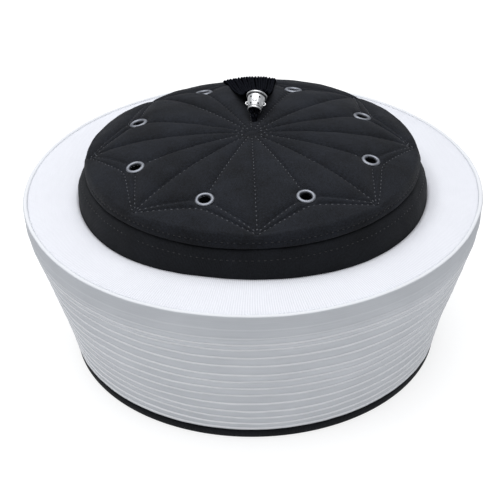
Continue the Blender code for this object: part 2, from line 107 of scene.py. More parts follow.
CROWN_TOP = 119.6 * MM
CROWN_FALL = 10.9 * MM
CROWN_CURVE = 2.72
CROWN_LEAN = -0.021
CROWN_TURN = math.radians(1.0)
EDGE_SAG = 2.0 * MM
SAG_CURVE = 8
BACK_POINT = math.radians(135.0)
BACK_POINT_SHIFT = math.radians(-6.5)
PANEL_WALL = 4.0 * MM
STAR_RADIUS = 82.9 * MM
LEAF_WIDTH = 1.2 * MM
QUILT_PUFF = 1.5 * MM

# %% Sizes of the eyelets, the bead and the tassel
EYELET_COUNT = 8
EYELET_CIRCLE = 63.2 * MM
EYELET_RADIUS = 4.9 * MM
EYELET_HOLE = 3.0 * MM
SCALLOP_RADIUS = 69.5 * MM
SECTOR = math.pi / EYELET_COUNT
BEAD_MIDDLE = Vector((2.45, 18.5, 126.7)) * MM
BEAD_TILT = math.radians(28.0)
BEAD_TURN = math.radians(-11.0)
BEAD_HALF = 4.7 * MM
BEAD_BORE = 2.8 * MM
FAN_WIDTH = 30.4 * MM
FAN_SIDE = -2.65 * MM
LOCK_RADIUS = 0.9 * MM
CORD_RADIUS = 0.64 * MM

# %% Where the worn cap is out of true: direction, share of the sag or bulge, narrowness
EDGE_SAGS = (
    (math.radians(150.0), 1.1, 2),
    (math.radians(110.0), 0.3, 6),
    (math.radians(20.0), 0.8, 6),
)
BAND_BULGES = (
    (math.radians(170.0), 0.9, 8),
    (math.radians(2.0), 0.7, 4),
)

# %% [markdown]
# ## The camera
#
# The cap was photographed from about 33 degrees above, a little under a metre away. The camera
# comes first, because it decides how fine each detail has to be: one pixel is half a millimetre.
# Its three axes are written as the columns of a matrix, which is plainer than three angles.

# %% Put something in the scene
def shown(name, data):
    """An object that is in the scene and has that mesh, light or camera."""
    made = bpy.data.objects.new(name, data)
    bpy.context.scene.collection.objects.link(made)
    return made


# %% Camera
CAMERA_DISTANCE = 808.2 * MM
CAMERA_PIXELS = 1518.7
CAMERA_ELEVATION = math.radians(32.776)
CAMERA_ROLL = math.radians(-1.216)
CAMERA_AIM = Vector((-2.079, 0.0, 48.721)) * MM
PICTURE = 500
SENSOR = 36.0

ahead = Vector((0.0, math.cos(CAMERA_ELEVATION), -math.sin(CAMERA_ELEVATION)))
level = Vector((1.0, 0.0, 0.0))
above = level.cross(ahead)
right = level * math.cos(CAMERA_ROLL) + above * math.sin(CAMERA_ROLL)
upward = above * math.cos(CAMERA_ROLL) - level * math.sin(CAMERA_ROLL)
place = CAMERA_AIM - ahead * CAMERA_DISTANCE

camera = shown("camera", bpy.data.cameras.new("camera"))
camera.data.sensor_width = SENSOR
camera.data.lens = CAMERA_PIXELS * SENSOR / PICTURE
camera.matrix_world = Matrix((
    (right.x, upward.x, -ahead.x, place.x),
    (right.y, upward.y, -ahead.y, place.y),
    (right.z, upward.z, -ahead.z, place.z),
    (0.0, 0.0, 0.0, 1.0),
))
bpy.context.scene.camera = camera
bpy.context.scene.view_settings.view_transform = "Standard"
print(f"camera: {camera.data.lens:.1f} mm lens at {place.length * 1000:.0f} mm from the origin")

# %% [markdown]
# ## Helpers for pieces
#
# Nearly every piece here goes round the Z axis. It starts as an outline that is spun into a
# closed body, or as one ring that is extruded again and again. The spun body is then pushed about
# point by point, because cloth is never quite round.

# %% Small sums that come up again and again
SAME_POINT = 0.001 * MM
UP = Vector((0.0, 0.0, 1.0))


def clamped(number):
    """A number kept between 0 and 1."""
    return min(1.0, max(0.0, number))


def polar(radius, angle, height=0.0):
    """The point at a radius, a direction and a height."""
    return Vector((radius * math.cos(angle), radius * math.sin(angle), height))


def outwards(place):
    """The level direction from the Z axis to a place."""
    return Vector((place.x, place.y, 0.0)).normalized()


# %% Turn an outline about Z
def closed(bm):
    """Merge the points that meet and turn every face outwards."""
    bmesh.ops.remove_doubles(bm, verts=bm.verts, dist=SAME_POINT)
    bmesh.ops.recalc_face_normals(bm, faces=bm.faces)
    return bm


def turned(outline, steps):
    """A closed body round Z from a closed outline of (radius, height) points.

    A flat grid has a row for each point of the outline and a column for each step, and it is
    bent round. For thousands of steps that is far quicker than a spin.
    """
    bm = bmesh.new()
    rows = len(outline)
    row = bm.verts.layers.int.new("row")
    bmesh.ops.create_grid(bm, x_segments=steps, y_segments=rows, size=0.5)
    for vert in bm.verts:
        angle = math.tau * round((vert.co.x + 0.5) * steps) / steps
        vert[row] = round((vert.co.y + 0.5) * rows) % rows
        radius, height = outline[vert[row]]
        vert.co = polar(radius, angle, height)
    return closed(bm)


def spun(outline, steps):
    """A small closed body spun about Z from a closed outline of (radius, height) points."""
    bm = bmesh.new()
    points = [bm.verts.new((radius, 0.0, height)) for radius, height in outline]
    for first, second in zip(points, points[1:] + points[:1]):
        bm.edges.new((first, second))
    bmesh.ops.spin(bm, geom=bm.verts[:] + bm.edges[:], cent=(0.0, 0.0, 0.0), axis=(0.0, 0.0, 1.0),
                   angle=math.tau, steps=steps, use_merge=True)
    return closed(bm)


def meshed(name, bm):
    """The mesh of a bmesh that has been finished with."""
    mesh = bpy.data.meshes.new(name)
    bm.to_mesh(mesh)
    bm.free()
    return mesh


def join(bm, part):
    """Add a small bmesh to a large one, and give the new points."""
    mesh = meshed("part", part)
    before = len(bm.verts)
    bm.from_mesh(mesh)
    bpy.data.meshes.remove(mesh)
    bm.verts.ensure_lookup_table()
    return bm.verts[before:]


# %% Extrude a ring where it is
def next_ring(bm, edges):
    """Extrude a loop of edges in place, and give the new points and the new edges."""
    made = bmesh.ops.extrude_edge_only(bm, edges=edges)["geom"]
    points = [item for item in made if isinstance(item, bmesh.types.BMVert)]
    return points, [item for item in made if isinstance(item, bmesh.types.BMEdge)]


# %% Lay a UV map round a piece
def lay_uv(bm, where, length_round):
    """A UV map in metres. `where` gives a point's share of a turn and its distance along."""
    layer = bm.loops.layers.uv.new("UVMap")
    for face in bm.faces:
        places = [where(loop.vert) for loop in face.loops]
        most = max(share for share, _ in places)
        for loop, (share, along) in zip(face.loops, places):
            share += 1.0 if most - share > 0.5 else 0.0
            loop[layer].uv = (share * length_round, along)


def round_z(vert):
    """Where a point of a turned piece is: share of the turn from the back, and down or in."""
    share = math.atan2(vert.co.x, -vert.co.y) / math.tau + 0.5
    return share, vert.co.z - math.hypot(vert.co.x, vert.co.y)


# %% Make a mesh a piece of the cap
def finished(name, bm, material, slot, *nodes):
    """A piece that rides on the cap, has its finish, and stands for the nodes it is given."""
    mesh = meshed(name, bm)
    mesh.shade_smooth()
    mesh.materials.append(material)
    piece = shown(name, mesh)
    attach(piece, "root")
    if nodes:
        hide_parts(*nodes)
    print(f"{name}: {len(mesh.polygons)} faces")
    return piece


# %% Smooth curves and smooth numbers
def smooth_through(points, count):
    """Points at equal steps of a smooth curve (Catmull-Rom) through the given ones."""
    ends = [points[0] * 2 - points[1], *points, points[-1] * 2 - points[-2]]
    spans = len(points) - 1
    result = []
    for i in range(count):
        span = min(int(spans * i / (count - 1)), spans - 1)
        t = spans * i / (count - 1) - span
        a, b, c, d = ends[span:span + 4]
        result.append(0.5 * (2 * b + (c - a) * t + (2 * a - 5 * b + 4 * c - d) * t ** 2
                             + (3 * b - a - 3 * c + d) * t ** 3))
    return result


def uneven(place, grain, seed=0.0):
    """A smooth random number from about -1 to 1 that changes over the grain's length."""
    return noise.noise(place / grain + Vector((seed, seed * 1.7, -seed)))


def in_table(table, share):
    """A value read between the rows of a table of (share, value)."""
    for (low, value_low), (high, value_high) in zip(table, table[1:]):
        if share <= high:
            t = max(0.0, (share - low) / (high - low))
            return value_low + (value_high - value_low) * t
    return table[-1][1]


# %% [markdown]
# ## Helpers for materials
#
# A material here is a small tree of nodes that ends in one Principled shader. One function adds
# any node with its settings and its links, so a tree reads as a short list. Colours are written
# as they look on a screen (sRGB) and turned to the linear values that light is reckoned in.

# %% Colours and nodes
def linear(colour):
    """The linear red, green, blue and alpha of an sRGB hex colour."""
    parts = [int(colour[i:i + 2], 16) / 255 for i in (1, 3, 5)]
    return [p / 12.92 if p <= 0.04045 else ((p + 0.055) / 1.055) ** 2.4 for p in parts] + [1.0]


def fill(tree, node, inputs):
    """Fill a node's inputs with values or links."""
    for name, value in inputs.items():
        if isinstance(value, bpy.types.NodeSocket):
            tree.links.new(value, node.inputs[name])
        else:
            node.inputs[name].default_value = value


def add(tree, kind, inputs, **settings):
    """Add a node to a tree, set what it is told, and fill its inputs."""
    made = tree.nodes.new(kind)
    for name, value in settings.items():
        setattr(made, name, value)
    fill(tree, made, inputs)
    return made


def patterns(tree):
    """The places that a pattern can follow, such as Object or UV."""
    return add(tree, "ShaderNodeTexCoord", {}).outputs


def new_material(name, roughness, metallic=0.0):
    """A material with only its shader, and that shader's tree."""
    material = bpy.data.materials.new(name)
    material.use_nodes = True
    shader = material.node_tree.nodes["Principled BSDF"]
    shader.inputs["Roughness"].default_value = roughness
    shader.inputs["Metallic"].default_value = metallic
    return material, material.node_tree, shader


# %% The few kinds of node that every material needs
def reckoned(tree, operation, *values):
    """The result of one sum on values or links."""
    return add(tree, "ShaderNodeMath", dict(enumerate(values)), operation=operation).outputs[0]


def spread(tree, value, low, high, least=0.0, most=1.0):
    """What lies between two limits, spread out from 0 to 1 or between two other limits."""
    return add(tree, "ShaderNodeMapRange", {0: value, 1: low, 2: high, 3: least, 4: most}).outputs[0]


def lumps(tree, place, scale, detail):
    """Noise from 0 to 1, with that many lumps to the metre."""
    return add(tree, "ShaderNodeTexNoise", {"Vector": place, "Scale": scale, "Detail": detail}).outputs[0]


def painted(tree, name):
    """A value that the points of a piece carry."""
    return add(tree, "ShaderNodeAttribute", {}, attribute_name=name).outputs["Fac"]


def between(tree, share, dark, light):
    """A colour between two, each an sRGB hex colour, a linear one or a link."""
    ends = [linear(colour) if isinstance(colour, str) else colour for colour in (dark, light)]
    return add(tree, "ShaderNodeMix", {0: share, 6: ends[0], 7: ends[1]}, data_type="RGBA").outputs[2]


def bumped(tree, height, distance, strength, **under):
    """A surface direction that follows a height, on top of another one if Normal is given."""
    inputs = {"Height": height, "Distance": distance, "Strength": strength}
    return add(tree, "ShaderNodeBump", inputs | under).outputs[0]


# %% Threads that cross
def weave(tree, place, thread):
    """A height from 0 to 1 that goes over and under like crossing threads of that spacing."""
    split = add(tree, "ShaderNodeSeparateXYZ", {0: place}).outputs
    waves = [reckoned(tree, "SINE", reckoned(tree, "MULTIPLY", split[axis], math.pi / thread))
             for axis in ("X", "Y")]
    return spread(tree, reckoned(tree, "MULTIPLY", *waves), -1.0, 1.0)


# %% [markdown]
# ## The cloth of the black cap
#
# The cap is plain-woven cotton, dyed black. Dyed cotton is a bluish charcoal and not black: its
# threads have a spacing of about 0.5 mm, they scatter the light, and their loose fibres give a
# pale bloom where the cloth turns away. So the colour is dark, the roughness is high and a
# little sheen lifts the edges. Fine noise stands for lint, and broad noise for handling.

# %% Black cotton
COTTON_THREAD = 0.5 * MM


def black_cotton(name, dark, light):
    """Dyed plain-weave cotton, whose thread tops are a little paler than the gaps between."""
    material, tree, shader = new_material(name, 0.88)
    place = patterns(tree)["Object"]
    lint = lumps(tree, place, 1600.0, 3.0)
    mixed = reckoned(tree, "MULTIPLY_ADD", lumps(tree, place, 55.0, 4.0), 0.45, lint)
    threads = bumped(tree, weave(tree, place, COTTON_THREAD), 0.16 * MM, 0.8)
    fill(tree, shader, {
        "Base Color": between(tree, spread(tree, mixed, 0.55, 0.92), dark, light),
        "Normal": bumped(tree, lint, 0.15 * MM, 0.5, Normal=threads),
        "Specular IOR Level": 0.18,
        "Sheen Weight": 0.03,
        "Sheen Roughness": 0.5,
    })
    return material


QUILT_COTTON = black_cotton("black_plain_weave_cotton", "#08090c", "#1d2027")
# The band is the same cotton as the panel, in slightly darker, flatter colours: painted shade for a wall
# that faces sideways.
SHADED_BAND_COTTON = black_cotton("black_cotton_band_painted_shade", "#0c0e11", "#1a1c21")

# %% [markdown]
# ## The band of the black cap
#
# The cap's wall runs from a rolled hem, hidden behind the wrap, up to the seam under the quilted
# panel. It could be a flat strip bent round and closed, but a spun outline gives the same shape
# and lets the hem be rolled in the same go. Only the top 15 mm and the hem show. The band is
# then made a little uneven, because nothing stiffens it there, and it leans forward with the
# crown.

# %% How the crown leans, sags and bulges, and the wall's radius
def lobes(table, angle):
    """A value by direction, from a table of (direction, share, narrowness)."""
    return sum(share * max(0.0, math.cos(angle - direction)) ** narrowness
               for direction, share, narrowness in table)


def settled(place):
    """Where a point of the crown lies on the worn cap, which is a little out of true."""
    share = clamped((place.z - CONTACT_HEIGHT) / BAND_SHOWING)
    angle = math.atan2(place.y, place.x)
    nearness = min(1.0, math.hypot(place.x, place.y) / SEAM_RADIUS)
    sag = EDGE_SAG * lobes(EDGE_SAGS, angle) * nearness ** SAG_CURVE
    bulge = BAND_BULGE * lobes(BAND_BULGES, angle) * math.sin(math.pi * share)
    return place + polar(bulge, angle, (CROWN_LEAN * place.y - sag) * share)


def cap_radius(height):
    """The outer radius of the cap's wall at a height."""
    if height <= CONTACT_HEIGHT:
        return CAP_RADIUS - (CAP_RADIUS - CONTACT_RADIUS) * height / CONTACT_HEIGHT
    return CONTACT_RADIUS - BAND_LEAN_IN * (height - CONTACT_HEIGHT) / BAND_SHOWING


# %% The band
BAND_STITCH_DROP = 5.0 * MM
STITCH_PINCH = 0.35 * MM
PINCH_REACH = 0.8 * MM
SEAM_TUCK = 0.9 * MM
BAND_EDGE = 0.6 * MM
HEM_EDGE = 1.2 * MM
HEM_CORNER = 0.8 * MM
BAND_STEPS = 11
WALL_STEPS = 7
HEM_STEPS = 12
INSIDE_STEPS = 8

band_outline = [(cap_radius(SEAM_HEIGHT) - SEAM_TUCK, SEAM_HEIGHT - GAP / 2)]
for step in range(BAND_STEPS + 1):
    height = SEAM_HEIGHT - BAND_EDGE - step * (BAND_SHOWING - BAND_EDGE) / BAND_STEPS
    nearness = math.exp(-abs(height - SEAM_HEIGHT + BAND_STITCH_DROP) / PINCH_REACH)
    band_outline.append((cap_radius(height) - STITCH_PINCH * nearness, height))
for step in range(1, WALL_STEPS + 1):
    height = CONTACT_HEIGHT + (HEM_SHOWING - CONTACT_HEIGHT) * step / WALL_STEPS
    band_outline.append((cap_radius(height), height))
for step in range(HEM_STEPS + 1):
    turn = math.pi * step / HEM_STEPS
    middle = HEM_SHOWING - GAP - HEM_EDGE - (HEM_SHOWING - GAP - 2 * HEM_EDGE) * step / HEM_STEPS
    band_outline.append((CAP_RADIUS + HEM_ROLL - HEM_EDGE * (1 - math.sin(turn)) ** 1.5,
                         middle + HEM_EDGE * math.cos(turn)))
band_outline += [(HEAD_RADIUS + HEM_CORNER, 0.0), (HEAD_RADIUS, HEM_CORNER)]
for step in range(1, INSIDE_STEPS + 1):
    height = HEM_CORNER + (CONTACT_HEIGHT - HEM_CORNER) * step / INSIDE_STEPS
    band_outline.append((cap_radius(height) - CAP_WALL, height))
band_outline.append((cap_radius(SEAM_HEIGHT) - CAP_WALL, SEAM_HEIGHT - GAP / 2))

band = turned(band_outline, 288)
for vert in band.verts:
    showing = clamped((vert.co.z - CONTACT_HEIGHT) / (4 * MM))
    below_seam = clamped((SEAM_HEIGHT - vert.co.z) / (3 * MM))
    out = outwards(vert.co)
    along = out * SEAM_RADIUS + UP * (vert.co.z / 4)
    fold = 0.35 * uneven(along, 9 * MM) + 0.15 * uneven(along, 3 * MM, 4.0)
    vert.co = settled(vert.co + out * fold * MM * showing * below_seam)
lay_uv(band, round_z, math.tau * SEAM_RADIUS)
finished("cap_band_cloth", band, SHADED_BAND_COTTON, "black_cloth", "cap_band")

# %% [markdown]
# ## The white cloth
#
# The wrap is fine white cotton, a lawn, wound many times round a padded core. Close to, it shows
# fine threads about 0.4 mm apart, some of them thicker than others. White cloth passes light on,
# and a folded edge, which is doubled and faces the overhead light, looks the palest. Subsurface
# scattering would show the doubled part at a high price in time, so each edge is given a painted
# highlight instead. The side of the wrap looks down and is in more shade than the top: its colour
# is a greyer copy of the same cloth, which is painted shade.

# %% White cotton
LAWN_THREAD = 0.42 * MM
SLUB_STRETCH = (60.0, 2200.0, 1.0)


def white_cotton(name, dark, light, painted_highlight):
    """White plain-weave cotton with uneven, mostly level threads, and a painted highlight where it is
    told.
    """
    material, tree, shader = new_material(name, 0.82)
    texture = patterns(tree)
    slubs_at = add(tree, "ShaderNodeMapping", {"Vector": texture["UV"], "Scale": SLUB_STRETCH})
    slubs = lumps(tree, slubs_at.outputs[0], 1.0, 3.0)
    mixed = reckoned(tree, "ADD", slubs, lumps(tree, texture["Object"], 40.0, 3.0))
    tone = between(tree, spread(tree, mixed, 0.7, 1.3), dark, light)
    coarse = bumped(tree, slubs, 0.12 * MM, 0.35)
    threads = weave(tree, texture["UV"], LAWN_THREAD)
    # Painted highlight: where a piece's points say so, the colour goes over to the last, palest one.
    fill(tree, shader, {
        "Base Color": between(tree, painted(tree, "painted_highlight"), tone, painted_highlight),
        "Normal": bumped(tree, threads, 0.08 * MM, 0.5, Normal=coarse),
        "Specular IOR Level": 0.3,
    })
    return material


# The wrap's side gets greyer colours than the same white cloth on the cover: painted shade for a side
# that looks down. The third colour of each is its painted highlight.
WRAP_LAWN_PAINTED_SHADE = white_cotton("white_cotton_lawn_painted_shade", "#b5b8bd", "#bec1c6", "#eff0f3")
COVER_RIB = white_cotton("white_ribbed_cotton", "#c2c4ca", "#caccd2", "#d9dae0")

# %% [markdown]
# ## The wound wrap
#
# On the real cap a long narrow strip is wound from the top down, each turn a few millimetres
# below the last, so its side shows level ledges where the next turn comes out from under. It
# could be fifteen separate strips, but they would only ever be seen edge on. One outline with a
# small step at each ledge, spun round, gives the same edges. Then each point is moved up or down
# by a slow random number, because no winding is level, and that is what makes it look wound.

# %% The wrap's outline before its pleats
WRAP_OUTLINE = (
    (0.00, 0.00),
    (0.12, 0.10),
    (0.30, 0.28),
    (0.48, 0.50),
    (0.66, 0.71),
    (0.83, 0.92),
    (0.94, 1.00),
)
# Share of the wrap's height, and depth of the ledge in millimetres
LEDGES = (
    (0.905, 0.04),
    (0.835, 0.09),
    (0.775, 0.24),
    (0.728, 0.27),
    (0.655, 0.28),
    (0.584, 0.30),
    (0.508, 0.31),
    (0.446, 0.30),
    (0.382, 0.31),
    (0.314, 0.31),
    (0.242, 0.30),
    (0.175, 0.31),
    (0.118, 0.30),
    (0.063, 0.28),
    (0.020, 0.24),
)
FOLD_EDGE = 0.9 * MM
# Across one ledge: share of its depth, millimetres down, how much painted highlight its edge gets
LEDGE_SHAPE = (
    (0.00, -0.50, 0.0),
    (0.12, -0.34, 0.9),
    (0.50, -0.02, 1.0),
    (0.88, 0.28, 0.9),
    (1.00, 0.48, 0.3),
    (0.98, 0.90, 0.0),
)


def wrap_radius(height):
    """The radius of the wrap's side at a height, at the outer edge of its ledges."""
    return WRAP_FOOT_RADIUS + WRAP_SPREAD * in_table(WRAP_OUTLINE, (height - HEM_SHOWING) / WRAP_HEIGHT)


# %% The wrap's outline with its pleats
COVER_GAP = 0.15 * MM
FOLD_STEPS = 6
FOLD_HIGHLIGHT = 0.4
DEEP_LEDGE = 0.2
FULL_HIGHLIGHT_DEPTH = 0.25
ABOVE_LEDGE = 0.6 * MM
BELOW_LEDGE = 0.95 * MM

wrap_outline = [
    (COVER_RADIUS + COVER_GAP, COVER_BOTTOM + 1.2 * MM),
    (COVER_RADIUS + COVER_GAP, WRAP_TOP - 0.45 * MM),
    (COVER_RADIUS + 0.35 * MM, WRAP_TOP - 0.12 * MM),
    (COVER_RADIUS + 0.90 * MM, WRAP_TOP + 0.1 * MM),
]
# Painted highlight by row: the cover's edge, the top of the fold and each ledge's edge, where the
# overhead light falls.
painted_highlight_rows = {1: 0.3, 2: FOLD_HIGHLIGHT, 3: FOLD_HIGHLIGHT}
for step in range(FOLD_STEPS + 1):
    turn = math.pi / 2 * (1 - step / FOLD_STEPS)
    wrap_outline.append((WRAP_RADIUS - FOLD_EDGE * (1 - math.cos(turn)),
                         WRAP_TOP - FOLD_EDGE * (1 - math.sin(turn))))
    painted_highlight_rows[len(wrap_outline) - 1] = FOLD_HIGHLIGHT if 2 * step <= FOLD_STEPS else 0.0
previous = WRAP_TOP - FOLD_EDGE - ABOVE_LEDGE
for share, depth in LEDGES:
    height = HEM_SHOWING + WRAP_HEIGHT * share
    above_ledge = wrap_radius(height) - depth * MM
    start = wrap_radius(previous)
    belly = (0.12 if depth > DEEP_LEDGE else 0.04) * MM
    for step in range(1, 4):
        part = step / 4
        wrap_outline.append((start + (above_ledge - start) * part + belly * math.sin(math.pi * part),
                             previous + (height + ABOVE_LEDGE - previous) * part))
    for part, drop, edge_highlight in LEDGE_SHAPE:
        wrap_outline.append((above_ledge + part * depth * MM, height - drop * MM))
        painted_highlight_rows[len(wrap_outline) - 1] = edge_highlight * min(1.0, depth / FULL_HIGHLIGHT_DEPTH)
    previous = height - BELOW_LEDGE
wrap_outline += [
    (WRAP_FOOT_RADIUS - 0.2 * MM, HEM_SHOWING + 0.45 * MM),
    (WRAP_FOOT_RADIUS - 0.7 * MM, HEM_SHOWING),
    (cap_radius(HEM_SHOWING) + GAP, HEM_SHOWING),
    (cap_radius(COVER_BOTTOM) + GAP, COVER_BOTTOM - GAP),
    (COVER_RADIUS + COVER_GAP, COVER_BOTTOM - GAP),
]
print(f"wrap outline: {len(wrap_outline)} points")

# %% Spin the wrap and make its winding uneven
wrap = turned(wrap_outline, 320)
row = wrap.verts.layers.int["row"]
painted_highlight = wrap.verts.layers.float.new("painted_highlight")
for vert in wrap.verts:
    vert[painted_highlight] = painted_highlight_rows.get(vert[row], 0.0)
    radius = math.hypot(vert.co.x, vert.co.y)
    height = vert.co.z
    out = outwards(vert.co)
    outer = clamped((radius - wrap_radius(height) + 3 * MM) / (1.5 * MM))
    low = clamped((height - HEM_SHOWING - 2 * MM) / (8 * MM))
    high = clamped((WRAP_TOP - 4 * MM - height) / (12 * MM))
    ring = out * WRAP_RADIUS
    slow = uneven(ring + UP * height * 3, 70 * MM)
    quick = uneven(ring + UP * height * 4, 22 * MM, 3.0)
    swell = uneven(ring + UP * height, 45 * MM, 7.0)
    small = uneven(ring + UP * height * 2, 9 * MM, 9.0)
    vert.co += out * (0.45 * swell + 0.16 * small) * MM * outer
    vert.co.z += (1.1 * slow + 0.32 * quick) * MM * outer * low * high
lay_uv(wrap, round_z, math.tau * WRAP_RADIUS)
finished("wound_wrap", wrap, WRAP_LAWN_PAINTED_SHADE, "white_pleats", "wrap_side")

# %% [markdown]
# ## The ribbed cover
#
# A flat ring of ribbed cloth closes the top of the wrap. Its ribs run outwards, about 1 mm
# apart, and they are large enough to show as shape, so they are modelled: the ring is spun in
# four steps for each rib, and every point is lifted or let down by where it is on its rib. A bump
# in the material would be lighter, but it would vanish at the ring's edges.

# %% The cover
RIB_PITCH = 1.06 * MM
RIB_DEPTH = 0.22 * MM
RIB_EDGE_DEPTH = 0.36 * MM
RIB_EDGE = 3.5 * MM
RIB_WANDER = 0.004
RIB_STEPS = 4
RIBS = round(math.tau * 0.5 * (CONTACT_RADIUS + COVER_RADIUS) / RIB_PITCH)
COVER_FLAT = 0.94
COVER_PROFILE = ((0.0, 1.0), (0.08, 0.72), (0.2, 0.41), (0.38, 0.15), (0.62, 0.02), (COVER_FLAT, 0.0))
COVER_STEPS = 14
COVER_TUCK = 0.4 * MM
COVER_INNER = CONTACT_RADIUS + GAP


def ridden_up(place, angle, radius):
    """Where a point of the cover's top lies once its inner edge has ridden up the band."""
    nearness = max(0.0, (COVER_RADIUS - radius) / (COVER_RADIUS - COVER_INNER)) ** LIP_CURVE
    rise = LIP_RISE * max(0.0, math.cos(angle - LIP_PLACE)) ** LIP_NARROWNESS * nearness
    risen_place = polar(radius - BAND_LEAN_IN * rise / BAND_SHOWING, angle, place.z + rise)
    return risen_place.lerp(settled(risen_place), min(1.0, nearness))


cover_outline = []
for step in range(COVER_STEPS + 1):
    share = COVER_FLAT * step / COVER_STEPS
    cover_outline.append((COVER_INNER + (COVER_RADIUS - COVER_INNER) * share,
                          WRAP_TOP - COVER_SINK * in_table(COVER_PROFILE, share)))
cover_outline += [
    (COVER_RADIUS - 0.3 * MM, WRAP_TOP - 0.02 * MM),
    (COVER_RADIUS + 0.1 * MM, WRAP_TOP - 0.15 * MM),
    (COVER_RADIUS + 0.1 * MM, WRAP_TOP - 0.5 * MM),
    (COVER_RADIUS, COVER_BOTTOM),
    (cap_radius(COVER_BOTTOM) + GAP, COVER_BOTTOM),
    (cap_radius(CONTACT_HEIGHT - COVER_TUCK) + GAP, CONTACT_HEIGHT - COVER_TUCK),
]
cover = turned(cover_outline, RIBS * RIB_STEPS)
painted_highlight = cover.verts.layers.float.new("painted_highlight")
for vert in cover.verts:
    angle = math.atan2(vert.co.y, vert.co.x)
    radius = math.hypot(vert.co.x, vert.co.y)
    upper = clamped((vert.co.z - COVER_BOTTOM) / MM)
    rib = math.cos(RIBS * (angle + RIB_WANDER * uneven(vert.co, 20 * MM)))
    sag = 0.25 * uneven(vert.co, 24 * MM, 2.0) + 0.10 * uneven(vert.co, 7 * MM, 5.0)
    inside = clamped((COVER_RADIUS - radius) / RIB_EDGE)
    depth = RIB_DEPTH + RIB_EDGE_DEPTH * (1.0 - inside)
    # Painted highlight on each rib's crest and painted shade in its groove: the colour follows the rib.
    vert[painted_highlight] = 0.5 + 0.5 * rib
    if vert.co.z > CONTACT_HEIGHT - SAME_POINT:
        vert.co = ridden_up(vert.co, angle, radius)
    vert.co.z += upper * (depth * 0.5 * (rib - 1.0) + sag * MM * (0.3 + 0.7 * inside) - 0.1 * MM)
lay_uv(cover, round_z, math.tau * COVER_RADIUS)
finished("ribbed_cover", cover, COVER_RIB, "white_rib", "wrap_top")
print(f"cover: {RIBS} ribs")

# %% [markdown]
# ## The quilted panel
#
# The top of the cap is two layers of cotton with wadding between, stitched through in a star:
# sixteen rays, two rows from each eyelet to the points beside it, and a scallop round the
# outside. The cloth is pulled down at each row and stands up between them. It could be blown up
# by a cloth simulation with the rows pinned. Here each point's height is reckoned from its distance
# to the nearest rows, which keeps every groove just where its stitches will be.

# %% Where the rows of stitches are
def star_share(angle):
    """0 in line with an eyelet, 1 in line with a point of the star."""
    return abs((angle / SECTOR) % 2 - 1)


POINT_REACH = STAR_RADIUS - LEAF_WIDTH
ROW_START = Vector((EYELET_CIRCLE, 0.0))
ROW_END = Vector((POINT_REACH * math.cos(SECTOR), POINT_REACH * math.sin(SECTOR)))
ROW_WAY = (ROW_END - ROW_START).normalized()


def inner_row(share):
    """The radius of the star's inner row: a straight line from an eyelet to a point of the star."""
    angle = SECTOR * share
    x, y = ROW_END
    return EYELET_CIRCLE * y / (y * math.cos(angle) - (x - EYELET_CIRCLE) * math.sin(angle))


def outer_row(share):
    """The radius of the outer row, which passes outside the eyelet in a scallop."""
    return SCALLOP_RADIUS + (STAR_RADIUS - SCALLOP_RADIUS) * share ** 1.5


def dome_height(radius):
    """The height of the panel's stitched rows at a radius."""
    return CROWN_TOP - CROWN_FALL * (min(radius, STAR_RADIUS) / STAR_RADIUS) ** CROWN_CURVE


def crown_place(radius, angle, height):
    """A point of the crown, turned and settled as it is, with one back point of the star shifted."""
    away = abs((angle - BACK_POINT + math.pi) % math.tau - math.pi)
    turn = angle + CROWN_TURN + BACK_POINT_SHIFT * max(0.0, 1.0 - away / SECTOR)
    return settled(polar(radius, turn, height))


# %% How high the cloth stands between the rows
STITCH_PITCH = 2.95 * MM
PUFF = 2.3 * MM
PUFF_REACH = 2.3 * MM
LEAF_REACH = 1.2 * MM
PUCKER = 0.62 * MM
PUCKER_REACH = 1.1 * MM
DIMPLE = 0.6 * MM
PANEL_EDGE = SEAM_RADIUS + 0.45 * MM
SHOULDER_ROUND = 2.6 * MM
SHOULDER_SHARE = 0.6


def risen(distance, reach):
    """The share of its height that cloth has at a distance from a row."""
    return 1.0 - math.exp(-max(0.0, distance) / reach)


def pulled(distance, along):
    """The small pucker beside a row: cloth is drawn down at each needle hole."""
    depth = 0.5 + 0.5 * math.cos(math.tau * along / STITCH_PITCH)
    return PUCKER * depth * math.exp(-abs(distance) / PUCKER_REACH)


